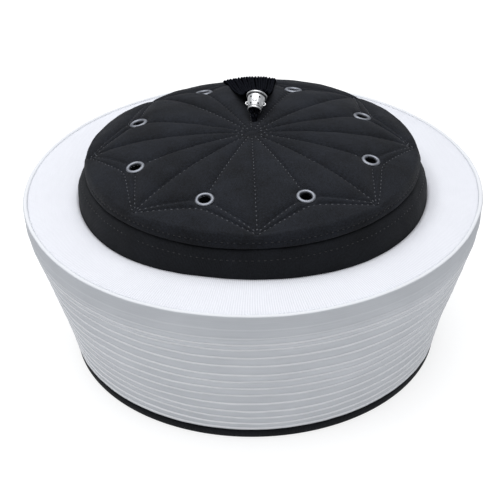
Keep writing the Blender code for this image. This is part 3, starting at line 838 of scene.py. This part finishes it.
def cloth_rise(radius, angle):
    """The height of the panel's cloth above its rows at a place."""
    share = star_share(angle)
    across = SECTOR * share
    flat = Vector((radius * math.cos(across), radius * math.sin(across)))
    from_start = flat - ROW_START
    outside_row = from_start.x * ROW_WAY.y - from_start.y * ROW_WAY.x
    along_row = from_start.dot(ROW_WAY)
    inside_outer = 0.85 * (outer_row(share) - radius)
    to_eyelet_ray = radius * math.sin(across)
    to_point_ray = radius * math.sin(SECTOR - across)
    if outside_row < 0.0:
        rise = (PUFF * risen(to_eyelet_ray, PUFF_REACH) * risen(to_point_ray, PUFF_REACH)
                * risen(-outside_row, PUFF_REACH))
        rise -= pulled(to_eyelet_ray, radius) + pulled(to_point_ray, radius)
        rise -= pulled(outside_row, along_row)
    elif inside_outer > 0.0:
        rise = PUFF * 0.8 * risen(outside_row, LEAF_REACH) * risen(inside_outer, LEAF_REACH)
        rise -= pulled(outside_row, along_row) + pulled(inside_outer, across * SCALLOP_RADIUS)
    else:
        room = SEAM_RADIUS - outer_row(share)
        rise = PUFF * (0.55 + 0.35 * min(1.0, room / (12 * MM))) * risen(-inside_outer, PUFF_REACH)
        rise -= pulled(inside_outer, across * SCALLOP_RADIUS)
        over = max(0.0, 1.0 - (PANEL_EDGE - radius) / SHOULDER_ROUND)
        rise -= SHOULDER_ROUND * (1.0 - math.sqrt(1.0 - over ** 2)) * SHOULDER_SHARE
    from_eyelet = from_start.length - EYELET_RADIUS
    rise *= risen(from_eyelet + 0.4 * MM, 1.3 * MM)
    return rise - DIMPLE * math.exp(-max(0.0, from_eyelet + 0.8 * MM) / (0.9 * MM))


# %% The panel's rings, from the middle outwards
STAR_RINGS = 84
LEAF_RINGS = 9
RIM_RINGS = 17
INSIDE_SHARES = (1.0, 0.92, 0.75, 0.5, 0.25, 0.05)
GATHER = 0.35 ** 2
GATHER_REACH = 1.2 * MM
SHOULDER_POINTS = (
    (85.35, 107.9),
    (85.55, 107.5),
    (85.60, 107.2),
    (85.45, 106.1),
    (85.15, 105.5),
    (85.40, 104.9),
    (85.55, 104.0),
    (85.45, 103.1),
    (85.15, 102.4),
    (84.80, 102.0),
    (84.40, 101.85),
)


def panel_rings():
    """(field, share of the way across it) for the quilting, then (radius, height) pairs."""
    rings = [("star", 0.02 + 0.98 * step / STAR_RINGS) for step in range(STAR_RINGS + 1)]
    rings += [("leaf", step / LEAF_RINGS) for step in range(1, LEAF_RINGS + 1)]
    rings += [("rim", step / RIM_RINGS) for step in range(1, RIM_RINGS + 1)]
    rings += [(radius * MM, height * MM) for radius, height in SHOULDER_POINTS]
    inside = SEAM_RADIUS - PANEL_WALL
    rings.append((inside, SEAM_HEIGHT + GAP / 2))
    for share in INSIDE_SHARES:
        rings.append((inside * share, dome_height(inside * share) - PANEL_WALL))
    return rings


def ring_place(ring, angle):
    """A point of a ring on the crown, with the cloth's own unevenness."""
    share = star_share(angle)
    if not isinstance(ring[0], str):
        radius, height = ring
        spot = crown_place(radius, angle, height)
        soft = 1.0 if radius > SEAM_RADIUS + GAP else 0.0
        gather = GATHER * math.cos(math.tau * angle * SEAM_RADIUS / STITCH_PITCH) * math.exp(
            -abs(height - SEAM_HEIGHT - TOPSTITCH_HEIGHT) / GATHER_REACH)
        push = 0.4 * uneven(spot, 12 * MM, 6.0) + 0.2 * uneven(spot, 4 * MM, 8.0) - gather
        return spot + outwards(spot) * push * MM * soft
    field, part = ring
    if field == "star":
        radius = inner_row(share) * part
    elif field == "leaf":
        radius = inner_row(share) + (outer_row(share) - inner_row(share)) * part
    else:
        radius = outer_row(share) + (PANEL_EDGE - outer_row(share)) * part
    rise = cloth_rise(radius, angle)
    spot = crown_place(radius, angle, dome_height(radius) + rise)
    loose = clamped(rise / (0.8 * MM))
    crinkle = 0.30 * uneven(spot, 11 * MM) + 0.16 * uneven(spot, 4.5 * MM, 2.0)
    return spot + UP * crinkle * MM * loose


# %% Column angles, closer together beside the rays
SECTOR_COLUMNS = 26
angles = []
for sector in range(2 * EYELET_COUNT):
    for step in range(SECTOR_COLUMNS):
        t = step / SECTOR_COLUMNS
        eased = 0.5 - 0.5 * math.cos(math.pi * t)
        angles.append(SECTOR * (sector + 0.55 * t + 0.45 * eased))
print(f"panel: {len(angles)} columns, {len(panel_rings())} rings")

# %% Build the panel ring by ring and close its two poles
panel = bmesh.new()
column = panel.verts.layers.int.new("column")
circle = bmesh.ops.create_circle(panel, segments=len(angles), radius=MM)["verts"]
for number, vert in enumerate(circle):
    vert[column] = number
points, edges = circle, panel.edges[:]
first = edges
for number, ring in enumerate(panel_rings()):
    if number:
        points, edges = next_ring(panel, edges)
    for vert in points:
        vert.co = ring_place(ring, angles[vert[column]])
for loop, height in ((edges, CROWN_TOP - PANEL_WALL), (first, CROWN_TOP - 0.3 * MM)):
    points, _ = next_ring(panel, loop)
    bmesh.ops.pointmerge(panel, verts=points, merge_co=(0.0, 0.0, height))
bmesh.ops.recalc_face_normals(panel, faces=panel.faces)

# %% [markdown]
# The panel has a hole under each eyelet. The holes are cut last, with one body that joins eight
# short rods, so that the grid of the quilting never has to bend round them.

# %% Where an eyelet sits
def eyelet_frame(number):
    """The place of an eyelet on the cloth, with its Z axis square to the dome there."""
    angle = SECTOR * (2 * number + 1)
    step = 0.5 * MM
    spot = crown_place(EYELET_CIRCLE, angle, dome_height(EYELET_CIRCLE))
    outward = crown_place(EYELET_CIRCLE + step, angle, dome_height(EYELET_CIRCLE + step)) - spot
    level_way = Vector((-outward.y, outward.x, 0.0))
    normal = outward.cross(level_way).normalized()
    return Matrix.Translation(spot) @ normal.to_track_quat("Z", "Y").to_matrix().to_4x4()


# %% Cut the eyelet holes
HOLE_RADIUS = 3.7 * MM
ROD_LENGTH = 24 * MM

panel_piece = finished("quilted_panel", panel, QUILT_COTTON, "quilted_cloth", "crown_top")
rods = bmesh.new()
for number in range(EYELET_COUNT):
    bmesh.ops.create_cone(rods, cap_ends=True, segments=28, radius1=HOLE_RADIUS, radius2=HOLE_RADIUS,
                          depth=ROD_LENGTH, matrix=eyelet_frame(number))
rods_piece = shown("eyelet_rods", meshed("eyelet_rods", rods))
cut = panel_piece.modifiers.new("Eyelet holes", "BOOLEAN")
cut.operation = "DIFFERENCE"
cut.solver = "EXACT"
cut.object = rods_piece
bpy.context.view_layer.update()
graph = bpy.context.evaluated_depsgraph_get()
cut_mesh = bpy.data.meshes.new_from_object(panel_piece.evaluated_get(graph))
panel_piece.modifiers.clear()
panel_piece.data = cut_mesh
bpy.data.objects.remove(rods_piece)
print(f"quilted_panel: {len(cut_mesh.polygons)} faces with its holes")

# %% [markdown]
# ## The eyelets
#
# Each eyelet is a thin tube of brass, plated dark grey, pushed through the cloth and rolled over.
# Plated and then rubbed by use, it is a metal of middling roughness: bright in broad soft
# patches and never a mirror. Its rolled rim is an outline spun about its own axis. A torus would
# look much the same from above, but it has no barrel to look down. The barrel is only 1 mm deep,
# because a longer one catches the light and looks grey, and the hole below it looks dark.

# %% Gunmetal plate
def plated(name, dark, light, roughness):
    """Plated metal with faint cloudy wear in its colour and its roughness."""
    material, tree, shader = new_material(name, roughness, metallic=1.0)
    cloud = lumps(tree, patterns(tree)["Object"], 420.0, 5.0)
    fill(tree, shader, {
        "Base Color": between(tree, spread(tree, cloud, 0.35, 0.65), dark, light),
        "Roughness": spread(tree, cloud, 0.3, 0.7, roughness - 0.08, roughness + 0.1),
        "Normal": bumped(tree, cloud, 0.05 * MM, 0.3),
    })
    return material


GUNMETAL = plated("gunmetal_plated_brass", "#7f828a", "#989ba2", 0.6)

# %% The eight eyelets
rim = EYELET_RADIUS - 0.1 * MM
barrel = EYELET_HOLE + 0.6 * MM
BARREL_DEPTH = 1.0 * MM
eyelet_outline = [
    (EYELET_HOLE, -BARREL_DEPTH),
    (EYELET_HOLE, 0.1 * MM),
    (EYELET_HOLE + 0.10 * MM, 0.45 * MM),
    (EYELET_HOLE + 0.35 * MM, 0.72 * MM),
    (EYELET_HOLE + 0.75 * MM, 0.82 * MM),
    (EYELET_HOLE + 1.15 * MM, 0.78 * MM),
    (rim - 0.35 * MM, 0.56 * MM),
    (rim - 0.08 * MM, 0.30 * MM),
    (rim, -0.02 * MM),
    (rim - 0.25 * MM, -0.20 * MM),
    (barrel, -0.20 * MM),
    (barrel, -BARREL_DEPTH),
]
for number in range(EYELET_COUNT):
    eyelet = spun(eyelet_outline, 56)
    bmesh.ops.transform(eyelet, matrix=eyelet_frame(number), verts=eyelet.verts)
    finished(f"eyelet_ring_{number + 1}", eyelet, GUNMETAL, "eyelet_metal", f"eyelet_{number + 1}")

# %% [markdown]
# ## The stitches
#
# The quilting is sewn with a slightly shiny dark grey thread, 2.95 mm from hole to hole, and each
# stitch shows as a small pale dash where its hump catches the light. The thread is given a paler
# grey than its own, which partly paints that highlight. Drawn lines would stay flat in every light,
# so each stitch is a little body of twenty-four faces, made by one operator that is told where it
# goes. All the stitches of one thread make one piece.

# %% Thread
DARKER_TWIST = 0.7


def thread_material(name, colour, roughness):
    """Polyester thread: smooth fibres, with a slight twist that breaks the highlight."""
    material, tree, shader = new_material(name, roughness)
    twist = lumps(tree, patterns(tree)["Object"], 2500.0, 1.0)
    darker = [DARKER_TWIST * c for c in linear(colour)[:3]] + [1.0]
    fill(tree, shader, {"Base Color": between(tree, twist, colour, darker), "Sheen Weight": 0.2})
    return material


# Partly painted highlight: this grey is paler than the quilting thread's own dark grey.
GREY_THREAD_PAINTED_HIGHLIGHT = thread_material("charcoal_polyester_thread_painted_highlight", "#4b4e55", 0.55)
DARK_THREAD = thread_material("black_polyester_thread", "#15171a", 0.6)
WHITE_THREAD = thread_material("white_cotton_thread", "#d5d9e0", 0.7)


# %% Sew along a way
# New shapes go into a small mesh first, which is joined to the whole one at this many points,
# because an operator takes longer the more its mesh holds.
BATCH = 600
STITCH_LENGTH = 1.15 * MM
STITCH_RADIUS = 0.25 * MM
STITCH_SUNK = 0.3


def sew(bm, way, pitch=STITCH_PITCH, length=STITCH_LENGTH, radius=STITCH_RADIUS, up=UP):
    """Stitches at even steps along a line of points, each lying on it and partly sunk in."""
    travelled = 0.5 * pitch
    walked = 0.0
    some = bmesh.new()
    size = Matrix.Diagonal((length / 2, radius, radius, 1.0))
    for start, end in zip(way, way[1:]):
        step = end - start
        while walked + step.length > travelled:
            middle = start + step * ((travelled - walked) / step.length)
            side = step.cross(up or outwards(middle)).normalized()
            lift = side.cross(step).normalized()
            turn = Matrix((step.normalized(), side, lift)).transposed().to_4x4()
            matrix = Matrix.Translation(middle + lift * radius * (1 - 2 * STITCH_SUNK)) @ turn @ size
            bmesh.ops.create_uvsphere(some, u_segments=6, v_segments=4, radius=1.0,
                                      matrix=matrix @ Matrix.Rotation(math.pi / 2, 4, "Y"))
            travelled += pitch
            if len(some.verts) > BATCH:
                join(bm, some)
                some = bmesh.new()
        walked += step.length
    join(bm, some)


# %% Sew the quilting
RAY_STEPS = 60
RAY_SKIPPED = 4
RAY_GAP = 0.6 * MM
POINT_GAP = 1.5 * MM
ROW_FROM = 6.4 * MM
ROW_SEWN = 26.4 * MM
ROW_STEPS = 24
SCALLOP_STEPS = 60


def on_cloth(radius, angle):
    """A point on the panel's cloth at one of its rows."""
    return crown_place(radius, angle, dome_height(radius) - 0.5 * PUCKER)


quilting = bmesh.new()
for number in range(2 * EYELET_COUNT):
    ray_end = EYELET_CIRCLE - EYELET_RADIUS - RAY_GAP if number % 2 else POINT_REACH - POINT_GAP
    sew(quilting, [on_cloth(ray_end * step / RAY_STEPS, SECTOR * number)
                   for step in range(RAY_SKIPPED, RAY_STEPS + 1)])
for number in range(EYELET_COUNT):
    middle_angle = SECTOR * (2 * number + 1)
    for side in (-1, 1):
        way = []
        for step in range(ROW_STEPS + 1):
            flat = ROW_START + ROW_WAY * (ROW_FROM + ROW_SEWN * step / ROW_STEPS)
            way.append(on_cloth(flat.length, middle_angle + side * math.atan2(flat.y, flat.x)))
        sew(quilting, way)
    shares = [2 * step / SCALLOP_STEPS - 1 for step in range(SCALLOP_STEPS + 1)]
    sew(quilting, [on_cloth(outer_row(abs(share)), middle_angle + SECTOR * share) for share in shares])
finished("quilting_stitches", quilting, GREY_THREAD_PAINTED_HIGHLIGHT, "quilted_cloth")

# %% Sew round the panel's shoulder and round the band
TOPSTITCH_RADIUS = 85.2 * MM
BAND_STITCH_SUNK = 0.3 * MM
CIRCLE_STEPS = 360


def sewn_round(name, radius, height, slot):
    """A piece of dark stitches round the crown at a radius and a height."""
    stitches = bmesh.new()
    sew(stitches, [crown_place(radius, math.tau * step / CIRCLE_STEPS, height)
                   for step in range(CIRCLE_STEPS + 1)], up=None)
    finished(name, stitches, DARK_THREAD, slot)


sewn_round("shoulder_stitches", TOPSTITCH_RADIUS, SEAM_HEIGHT + TOPSTITCH_HEIGHT, "quilted_cloth")
stitch_at = SEAM_HEIGHT - BAND_STITCH_DROP
sewn_round("band_stitches", cap_radius(stitch_at) - BAND_STITCH_SUNK, stitch_at, "black_cloth")

# %% Sew the cover to the wrap
COVER_STITCH_PITCH = 2.0 * MM
COVER_STITCH_LENGTH = 1.35 * MM
COVER_STITCH_RADIUS = 0.3 * MM
COVER_SEAM_STEPS = 720

seam = bmesh.new()
sew(seam, [polar(COVER_RADIUS, math.tau * step / COVER_SEAM_STEPS, WRAP_TOP - 0.45 * MM)
           for step in range(COVER_SEAM_STEPS + 1)],
    COVER_STITCH_PITCH, COVER_STITCH_LENGTH, COVER_STITCH_RADIUS)
finished("cover_stitches", seam, WHITE_THREAD, "white_rib")

# %% [markdown]
# ## The bead
#
# The tassel's cords run through a short barrel of cast silver, blackened and then rubbed bright
# on its high places. It has a rim at each end, a wire ear at each side and dark round pits between
# them. The barrel is spun. The ears and pits could be carved out of it, but each is a small body
# of its own here, since that keeps them crisp: a pit is a dark ball that is nearly sunk in, and
# a ring of blackened wire at the front and the back stands for the scrolls.

# %% Antique silver
def antique_silver():
    """Silver that stays dark in its hollows: the colour follows a value painted on the points."""
    material, tree, shader = new_material("antique_silver", 0.5, metallic=1.0)
    pits = lumps(tree, patterns(tree)["Object"], 800.0, 4.0)
    mixed = reckoned(tree, "MULTIPLY_ADD", pits, 0.35, painted(tree, "worn"))
    fill(tree, shader, {
        "Base Color": between(tree, spread(tree, mixed, 0.3, 1.0), "#0c0d0f", "#d8d9da"),
        "Normal": bumped(tree, pits, 0.08 * MM, 0.5),
    })
    return material


SILVER = antique_silver()

# %% The bead's barrel, back end first: height along the bore, radius, wear
BEAD_OUTLINE = (
    (4.70, 4.60, 0.9),
    (4.60, 5.05, 1.0),
    (4.30, 5.35, 1.0),
    (3.90, 5.35, 1.0),
    (3.62, 4.95, 0.6),
    (3.45, 4.50, 0.0),
    (3.25, 4.42, 0.2),
    (2.70, 4.50, 0.85),
    (1.30, 4.45, 0.9),
    (0.00, 4.25, 0.9),
    (-1.40, 3.98, 0.9),
    (-2.60, 3.70, 0.85),
    (-3.25, 3.50, 0.5),
    (-3.50, 3.42, 0.1),
    (-3.75, 3.46, 0.6),
    (-4.10, 3.60, 1.0),
    (-4.50, 3.55, 1.0),
    (-4.70, 3.30, 0.9),
    (-4.65, 3.05, 0.5),
    (-4.00, 2.85, 0.1),
    (0.00, 2.85, 0.0),
    (4.00, 3.20, 0.0),
    (4.62, 3.90, 0.3),
)
OUTSIDE_ROWS = 19
bead = spun([(radius * MM, height * MM) for height, radius, _ in BEAD_OUTLINE], 72)
worn = bead.verts.layers.float.new("worn")
for vert in bead.verts:
    nearest = min(BEAD_OUTLINE, key=lambda row: math.hypot(
        row[0] * MM - vert.co.z, row[1] * MM - math.hypot(vert.co.x, vert.co.y)))
    vert[worn] = nearest[2]


# %% Balls and bent wire on the bead
PIT_RADIUS = 0.52 * MM
WIRE_SIDES = 6
WIRE_STEPS = 16
UPRIGHT = Matrix.Rotation(math.pi / 2, 4, "X")


def worn_to(verts, value):
    """Say how far new points of the bead are rubbed bright."""
    for vert in verts:
        vert[worn] = value


def bead_radius(height):
    """The barrel's radius at a height along the bore."""
    outside = sorted((row[0], row[1]) for row in BEAD_OUTLINE[:OUTSIDE_ROWS])
    return in_table(outside, height / MM) * MM


def on_bead(height, angle, lift=0.0):
    """A frame on the barrel with its Z axis outwards and its X axis along the bore."""
    turn = Matrix.Rotation(angle, 4, "Z") @ Matrix.Rotation(math.pi / 2, 4, "Y")
    return Matrix.Translation(polar(bead_radius(height) + lift, angle, height)) @ turn


def wire_loop(size, wire, wear, matrix):
    """A ring of bent wire on the bead, in the XY plane of its matrix."""
    bm = bmesh.new()
    bmesh.ops.create_circle(bm, segments=WIRE_SIDES, radius=wire,
                            matrix=Matrix.Translation((size, 0.0, 0.0)) @ UPRIGHT)
    bmesh.ops.spin(bm, geom=bm.verts[:] + bm.edges[:], cent=(0.0, 0.0, 0.0), axis=(0.0, 0.0, 1.0),
                   angle=math.tau, steps=WIRE_STEPS, use_merge=True)
    bmesh.ops.recalc_face_normals(bm, faces=bm.faces)
    bmesh.ops.transform(bm, matrix=matrix, verts=bm.verts)
    worn_to(join(bead, bm), wear)


for angle in (0.0, math.pi):
    wire_loop(0.85 * MM, 0.32 * MM, 0.95, on_bead(-0.5 * MM, angle, 0.15 * MM) @ UPRIGHT)
for angle in (60.0, 120.0, 240.0, 300.0):
    for height in (1.3, -2.2):
        made = bmesh.ops.create_icosphere(bead, subdivisions=2, radius=PIT_RADIUS,
                                          matrix=on_bead(height * MM, math.radians(angle), -0.12 * MM))
        worn_to(made["verts"], 0.0)
for angle in (90.0, 270.0):
    wire_loop(0.9 * MM, 0.2 * MM, 0.25, on_bead(-0.6 * MM, math.radians(angle), -0.08 * MM))

# %% Put the bead in its place
bead_axis = Matrix.Rotation(BEAD_TURN, 3, "Z") @ Vector((0.0, math.cos(BEAD_TILT), math.sin(BEAD_TILT)))
bead_turn = bead_axis.to_track_quat("Z", "Y").to_matrix().to_4x4()
bmesh.ops.transform(bead, matrix=Matrix.Translation(BEAD_MIDDLE) @ bead_turn, verts=bead.verts)
finished("silver_bead", bead, SILVER, "bead_silver", "tassel_bead")

# %% [markdown]
# ## The tassel
#
# The tassel is a bundle of twisted rayon cords, each a little over a millimetre thick. They come
# up through the crown, run through the bead, spread over the back of the cap and hang behind it.
# They could be curves with a round bevel. Here each cord is a ring extruded along its way, so that
# its own UV map can carry the twist, and a cord near the bead is thinner, because there they are
# squeezed together. The cords lie in three layers. The lower two are painted black as painted
# shade, so that they show as dark gaps between the cords of the top one, whose ply tops get a
# painted highlight.

# %% Rayon cord
CORD_LAY = 2.4 * MM
PLIES = 2.0


def rayon_cord():
    """Black twisted rayon: two smooth plies, whose tops get a painted highlight in slanting dashes."""
    material, tree, shader = new_material("black_rayon_cord", 0.6)
    texture = patterns(tree)
    split = add(tree, "ShaderNodeSeparateXYZ", {0: texture["UV"]}).outputs
    along = reckoned(tree, "MULTIPLY", split["Y"], 1.0 / CORD_LAY)
    turns = reckoned(tree, "MULTIPLY_ADD", split["X"], PLIES, along)
    ply = spread(tree, reckoned(tree, "SINE", reckoned(tree, "MULTIPLY", turns, math.tau)), -1.0, 1.0)
    # Painted highlight on the ply tops, times the cord's painted light: cords with none stay black as
    # painted shade.
    painted_ply_tops = reckoned(tree, "MULTIPLY", ply, lumps(tree, texture["Object"], 700.0, 3.0))
    share = reckoned(tree, "MULTIPLY", painted_ply_tops, painted(tree, "painted_light"))
    fill(tree, shader, {
        "Base Color": between(tree, share, "#020203", "#2e3139"),
        "Normal": bumped(tree, ply, 0.2 * MM, 0.45),
        "Specular IOR Level": 0.0,
    })
    return material


RAYON = rayon_cord()

# %% The way of a cord over the back of the crown
# Share of the way from the bead to the shoulder, lift off the cloth in millimetres
TASSEL_FALL = ((0.08, 5.6), (0.24, 2.8), (0.44, 1.0), (0.66, 0.6), (0.86, 0.5))
SQUEEZE = 2.2 * MM
LEAVE_SIDE = 5.2 * MM
LEAVE_LIFT = 2.4 * MM
HANG = 8.0 * MM


def cloth_height(x, y):
    """The height of the cloth's highest stretches at a place on the settled crown."""
    return settled(Vector((x, y, dome_height(math.hypot(x, y)) + QUILT_PUFF))).z


def cord_way(side, layer, seed):
    """Points of one cord: side goes from -1 to 1 across the fan, layer from -1 to 1 up it."""
    start = BEAD_MIDDLE - bead_axis * BEAD_HALF * 0.6
    lift_way = Vector((0.0, -bead_axis.z, bead_axis.y))
    points = []
    for reach in (0.0, 0.7, 1.5):
        points.append(start + bead_axis * BEAD_HALF * reach + lift_way * SQUEEZE * 0.8 * layer
                      + level * side * SQUEEZE * math.sqrt(1 - 0.6 * layer ** 2))
    leave = BEAD_MIDDLE + bead_axis * (BEAD_HALF + 0.6 * MM)
    points.append(leave + bead_axis * 1.2 * MM + lift_way * LEAVE_LIFT * layer
                  + level * side * LEAVE_SIDE)
    first = points[-1].y
    shoulder = SEAM_RADIUS + SHOULDER_BULGE
    for share, lift in TASSEL_FALL:
        reach = first + (shoulder - first) * share
        x = BEAD_MIDDLE.x + FAN_SIDE * share
        x += side * (BEAD_BORE + (FAN_WIDTH / 2 - BEAD_BORE) * share ** 0.5)
        x += 0.5 * MM * uneven(Vector((seed, share * 2, 0.0)), 1.0)
        y = math.sqrt(reach ** 2 - x ** 2)
        z = cloth_height(x, y) + lift * MM + LOCK_RADIUS * (1 + 0.75 * layer * (1 - 0.35 * share))
        z -= 1.2 * MM * side ** 2 * share ** 2
        points.append(Vector((x, y, z + 0.25 * MM * uneven(Vector((share * 3, seed, 0.0)), 1.0))))
    hang = shoulder + 2 * GAP + LOCK_RADIUS * (1 + 0.6 * layer)
    edge = dome_height(STAR_RADIUS) + LOCK_RADIUS * (1.6 + 0.5 * layer) - 1.4 * MM * side ** 2
    knee = SEAM_HEIGHT + TOPSTITCH_HEIGHT
    fall = HANG + 0.8 * MM * uneven(Vector((0.0, seed, 4.0)), 1.0)
    for reach, height in ((hang - LOCK_RADIUS, edge), (hang, knee), (hang, knee - fall)):
        x = BEAD_MIDDLE.x + FAN_SIDE + side * (FAN_WIDTH / 2 - 0.4 * MM)
        y = math.sqrt(reach ** 2 - x ** 2)
        points.append(settled(Vector((x, y, height))))
    return points


# %% Sweep a ring along a way
CORD_SIDES = 7


def swept(way, radii, painted_light):
    """A closed cord along a way, with its distance along and round it kept for the UV map."""
    bm = bmesh.new()
    round_layer, along_layer, painted_light_layer = [
        bm.verts.layers.float.new(name) for name in ("round", "along", "painted_light")]
    points = bmesh.ops.create_circle(bm, segments=CORD_SIDES, radius=MM)["verts"]
    edges = list({edge for vert in points for edge in vert.link_edges})
    for number, vert in enumerate(points):
        vert[round_layer] = number / CORD_SIDES
        vert[painted_light_layer] = painted_light
    first = edges
    across = Vector((1.0, 0.0, 0.0))
    travelled = 0.0
    for number, (spot, radius) in enumerate(zip(way, radii)):
        if number:
            points, edges = next_ring(bm, edges)
            travelled += (spot - way[number - 1]).length
        step = (way[min(number + 1, len(way) - 1)] - way[max(number - 1, 0)]).normalized()
        other = step.cross(across).normalized()
        across = other.cross(step).normalized()
        for vert in points:
            turn = math.tau * vert[round_layer]
            vert.co = spot + (across * math.cos(turn) + other * math.sin(turn)) * radius
            vert[along_layer] = travelled
    for loop, spot in ((edges, way[-1]), (first, way[0])):
        points, _ = next_ring(bm, loop)
        bmesh.ops.pointmerge(bm, verts=points, merge_co=spot)
    return bm


# %% The cords of the tassel
# Height of the layer, number of its cords, how much painted highlight their tops get
LAYERS = ((-0.8, 15, 0.0), (0.0, 16, 0.0), (0.8, 19, 0.8))
CORD_STEPS = 46

tassel = bmesh.new()
cord_number = 0
for layer, count, painted_light in LAYERS:
    for number in range(count):
        cord_number += 1
        wander = 0.9 * uneven(Vector((cord_number * 0.731, layer * 5, 0.0)), 1.0) / count
        side = -1 + 2 * (number + 0.5) / count + wander
        depth = layer + 0.25 * uneven(Vector((cord_number * 0.377, 2.0, 0.0)), 1.0)
        way = smooth_through(cord_way(side, depth, cord_number * 0.917), CORD_STEPS)
        radii = [CORD_RADIUS * min(1.0, 0.55 + 0.045 * step) for step in range(CORD_STEPS)]
        radii[-1] *= 0.7
        join(tassel, swept(way, radii, painted_light))

# %% The cords under the bead, from the cloth into the bore
UNDER_CORDS = 6
UNDER_RADIUS = 0.55 * MM
UNDER_STEPS = 16
# The cords under the bead get half the painted highlight on their ply tops.
UNDER_PAINTED_LIGHT = 0.5

bead_front = BEAD_MIDDLE - bead_axis * BEAD_HALF
root = Vector((bead_front.x, bead_front.y - 3.6 * MM, 0.0))
root.z = cloth_height(root.x, root.y) - 1.4 * MM
for number in range(UNDER_CORDS):
    turn = math.tau * number / UNDER_CORDS
    aside = level * math.cos(turn)
    in_bore = aside * 1.9 * MM + UP * 1.2 * MM * math.sin(turn)
    way = smooth_through([
        root + polar(0.35 * MM, turn, -0.6 * MM),
        root.lerp(bead_front, 0.45) + (aside + Vector((0.0, 0.5 * math.sin(turn) - 0.6, 0.0))) * MM,
        bead_front + in_bore,
        bead_front + bead_axis * 2.5 * MM + in_bore,
    ], UNDER_STEPS)
    join(tassel, swept(way, [UNDER_RADIUS] * UNDER_STEPS, UNDER_PAINTED_LIGHT))

# %% Finish the tassel
bmesh.ops.recalc_face_normals(tassel, faces=tassel.faces)
round_layer = tassel.verts.layers.float["round"]
along_layer = tassel.verts.layers.float["along"]
lay_uv(tassel, lambda vert: (vert[round_layer], vert[along_layer]), 1.0)
finished("tassel_cords", tassel, RAYON, "tassel_cord", "tassel")
print(f"tassel: {cord_number} cords")

# %% [markdown]
# ## The floor and the light
#
# The cap stands on a white light table, which is why almost no shadow shows round it. One large
# soft box hangs above it and a little to the left, and the room around is a dim pale grey. The
# top of the wrap faces the box and is nearly white, and its side, which looks down, is much
# greyer. A plain white floor that doesn't glow would be simpler, but the cap would lie in a dark
# pool. The glow stops under the cap, so that its inside and the eyelets' holes stay dark.

# %% Floor
TABLE_HALF = 6.0
TABLE_GLOW = 0.8

floor = bmesh.new()
bmesh.ops.create_grid(floor, x_segments=1, y_segments=1, size=TABLE_HALF)
table = shown("light_table", meshed("light_table", floor))
material, tree, shader = new_material("white_light_table", 0.9)
reach = add(tree, "ShaderNodeVectorMath", {0: patterns(tree)["Object"]}, operation="LENGTH")
glowing = reckoned(tree, "GREATER_THAN", reach.outputs["Value"], HEAD_RADIUS)
fill(tree, shader, {
    "Base Color": linear("#969798"),
    "Emission Color": linear("#ffffff"),
    "Emission Strength": reckoned(tree, "MULTIPLY", glowing, TABLE_GLOW),
    "Specular IOR Level": 0.0,
})
table.data.materials.append(material)
table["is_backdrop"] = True

# %% Lights
BOX_PLACE = Vector((-0.1, 0.0, 1.3))
BOX_AIM = Vector((0.0, 0.0, 0.1))
BOX_SIZE = 1.2
BOX_POWER = 22.0
ROOM_STRENGTH = 0.35

light = bpy.data.lights.new("overhead_box", "AREA")
light.shape = "SQUARE"
light.size = BOX_SIZE
light.energy = BOX_POWER
box = shown("overhead_box", light)
box.location = BOX_PLACE
box.rotation_euler = (BOX_AIM - BOX_PLACE).to_track_quat("-Z", "Y").to_euler()
room = bpy.data.worlds.new("room")
room.use_nodes = True
fill(room.node_tree, room.node_tree.nodes["Background"],
     {"Color": linear("#eef1f6"), "Strength": ROOM_STRENGTH})
bpy.context.scene.world = room

# %% Measure the dressed cap and finish
low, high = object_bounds()
print("size, mm:", [round((b - a) * 1000, 1) for a, b in zip(low, high)])
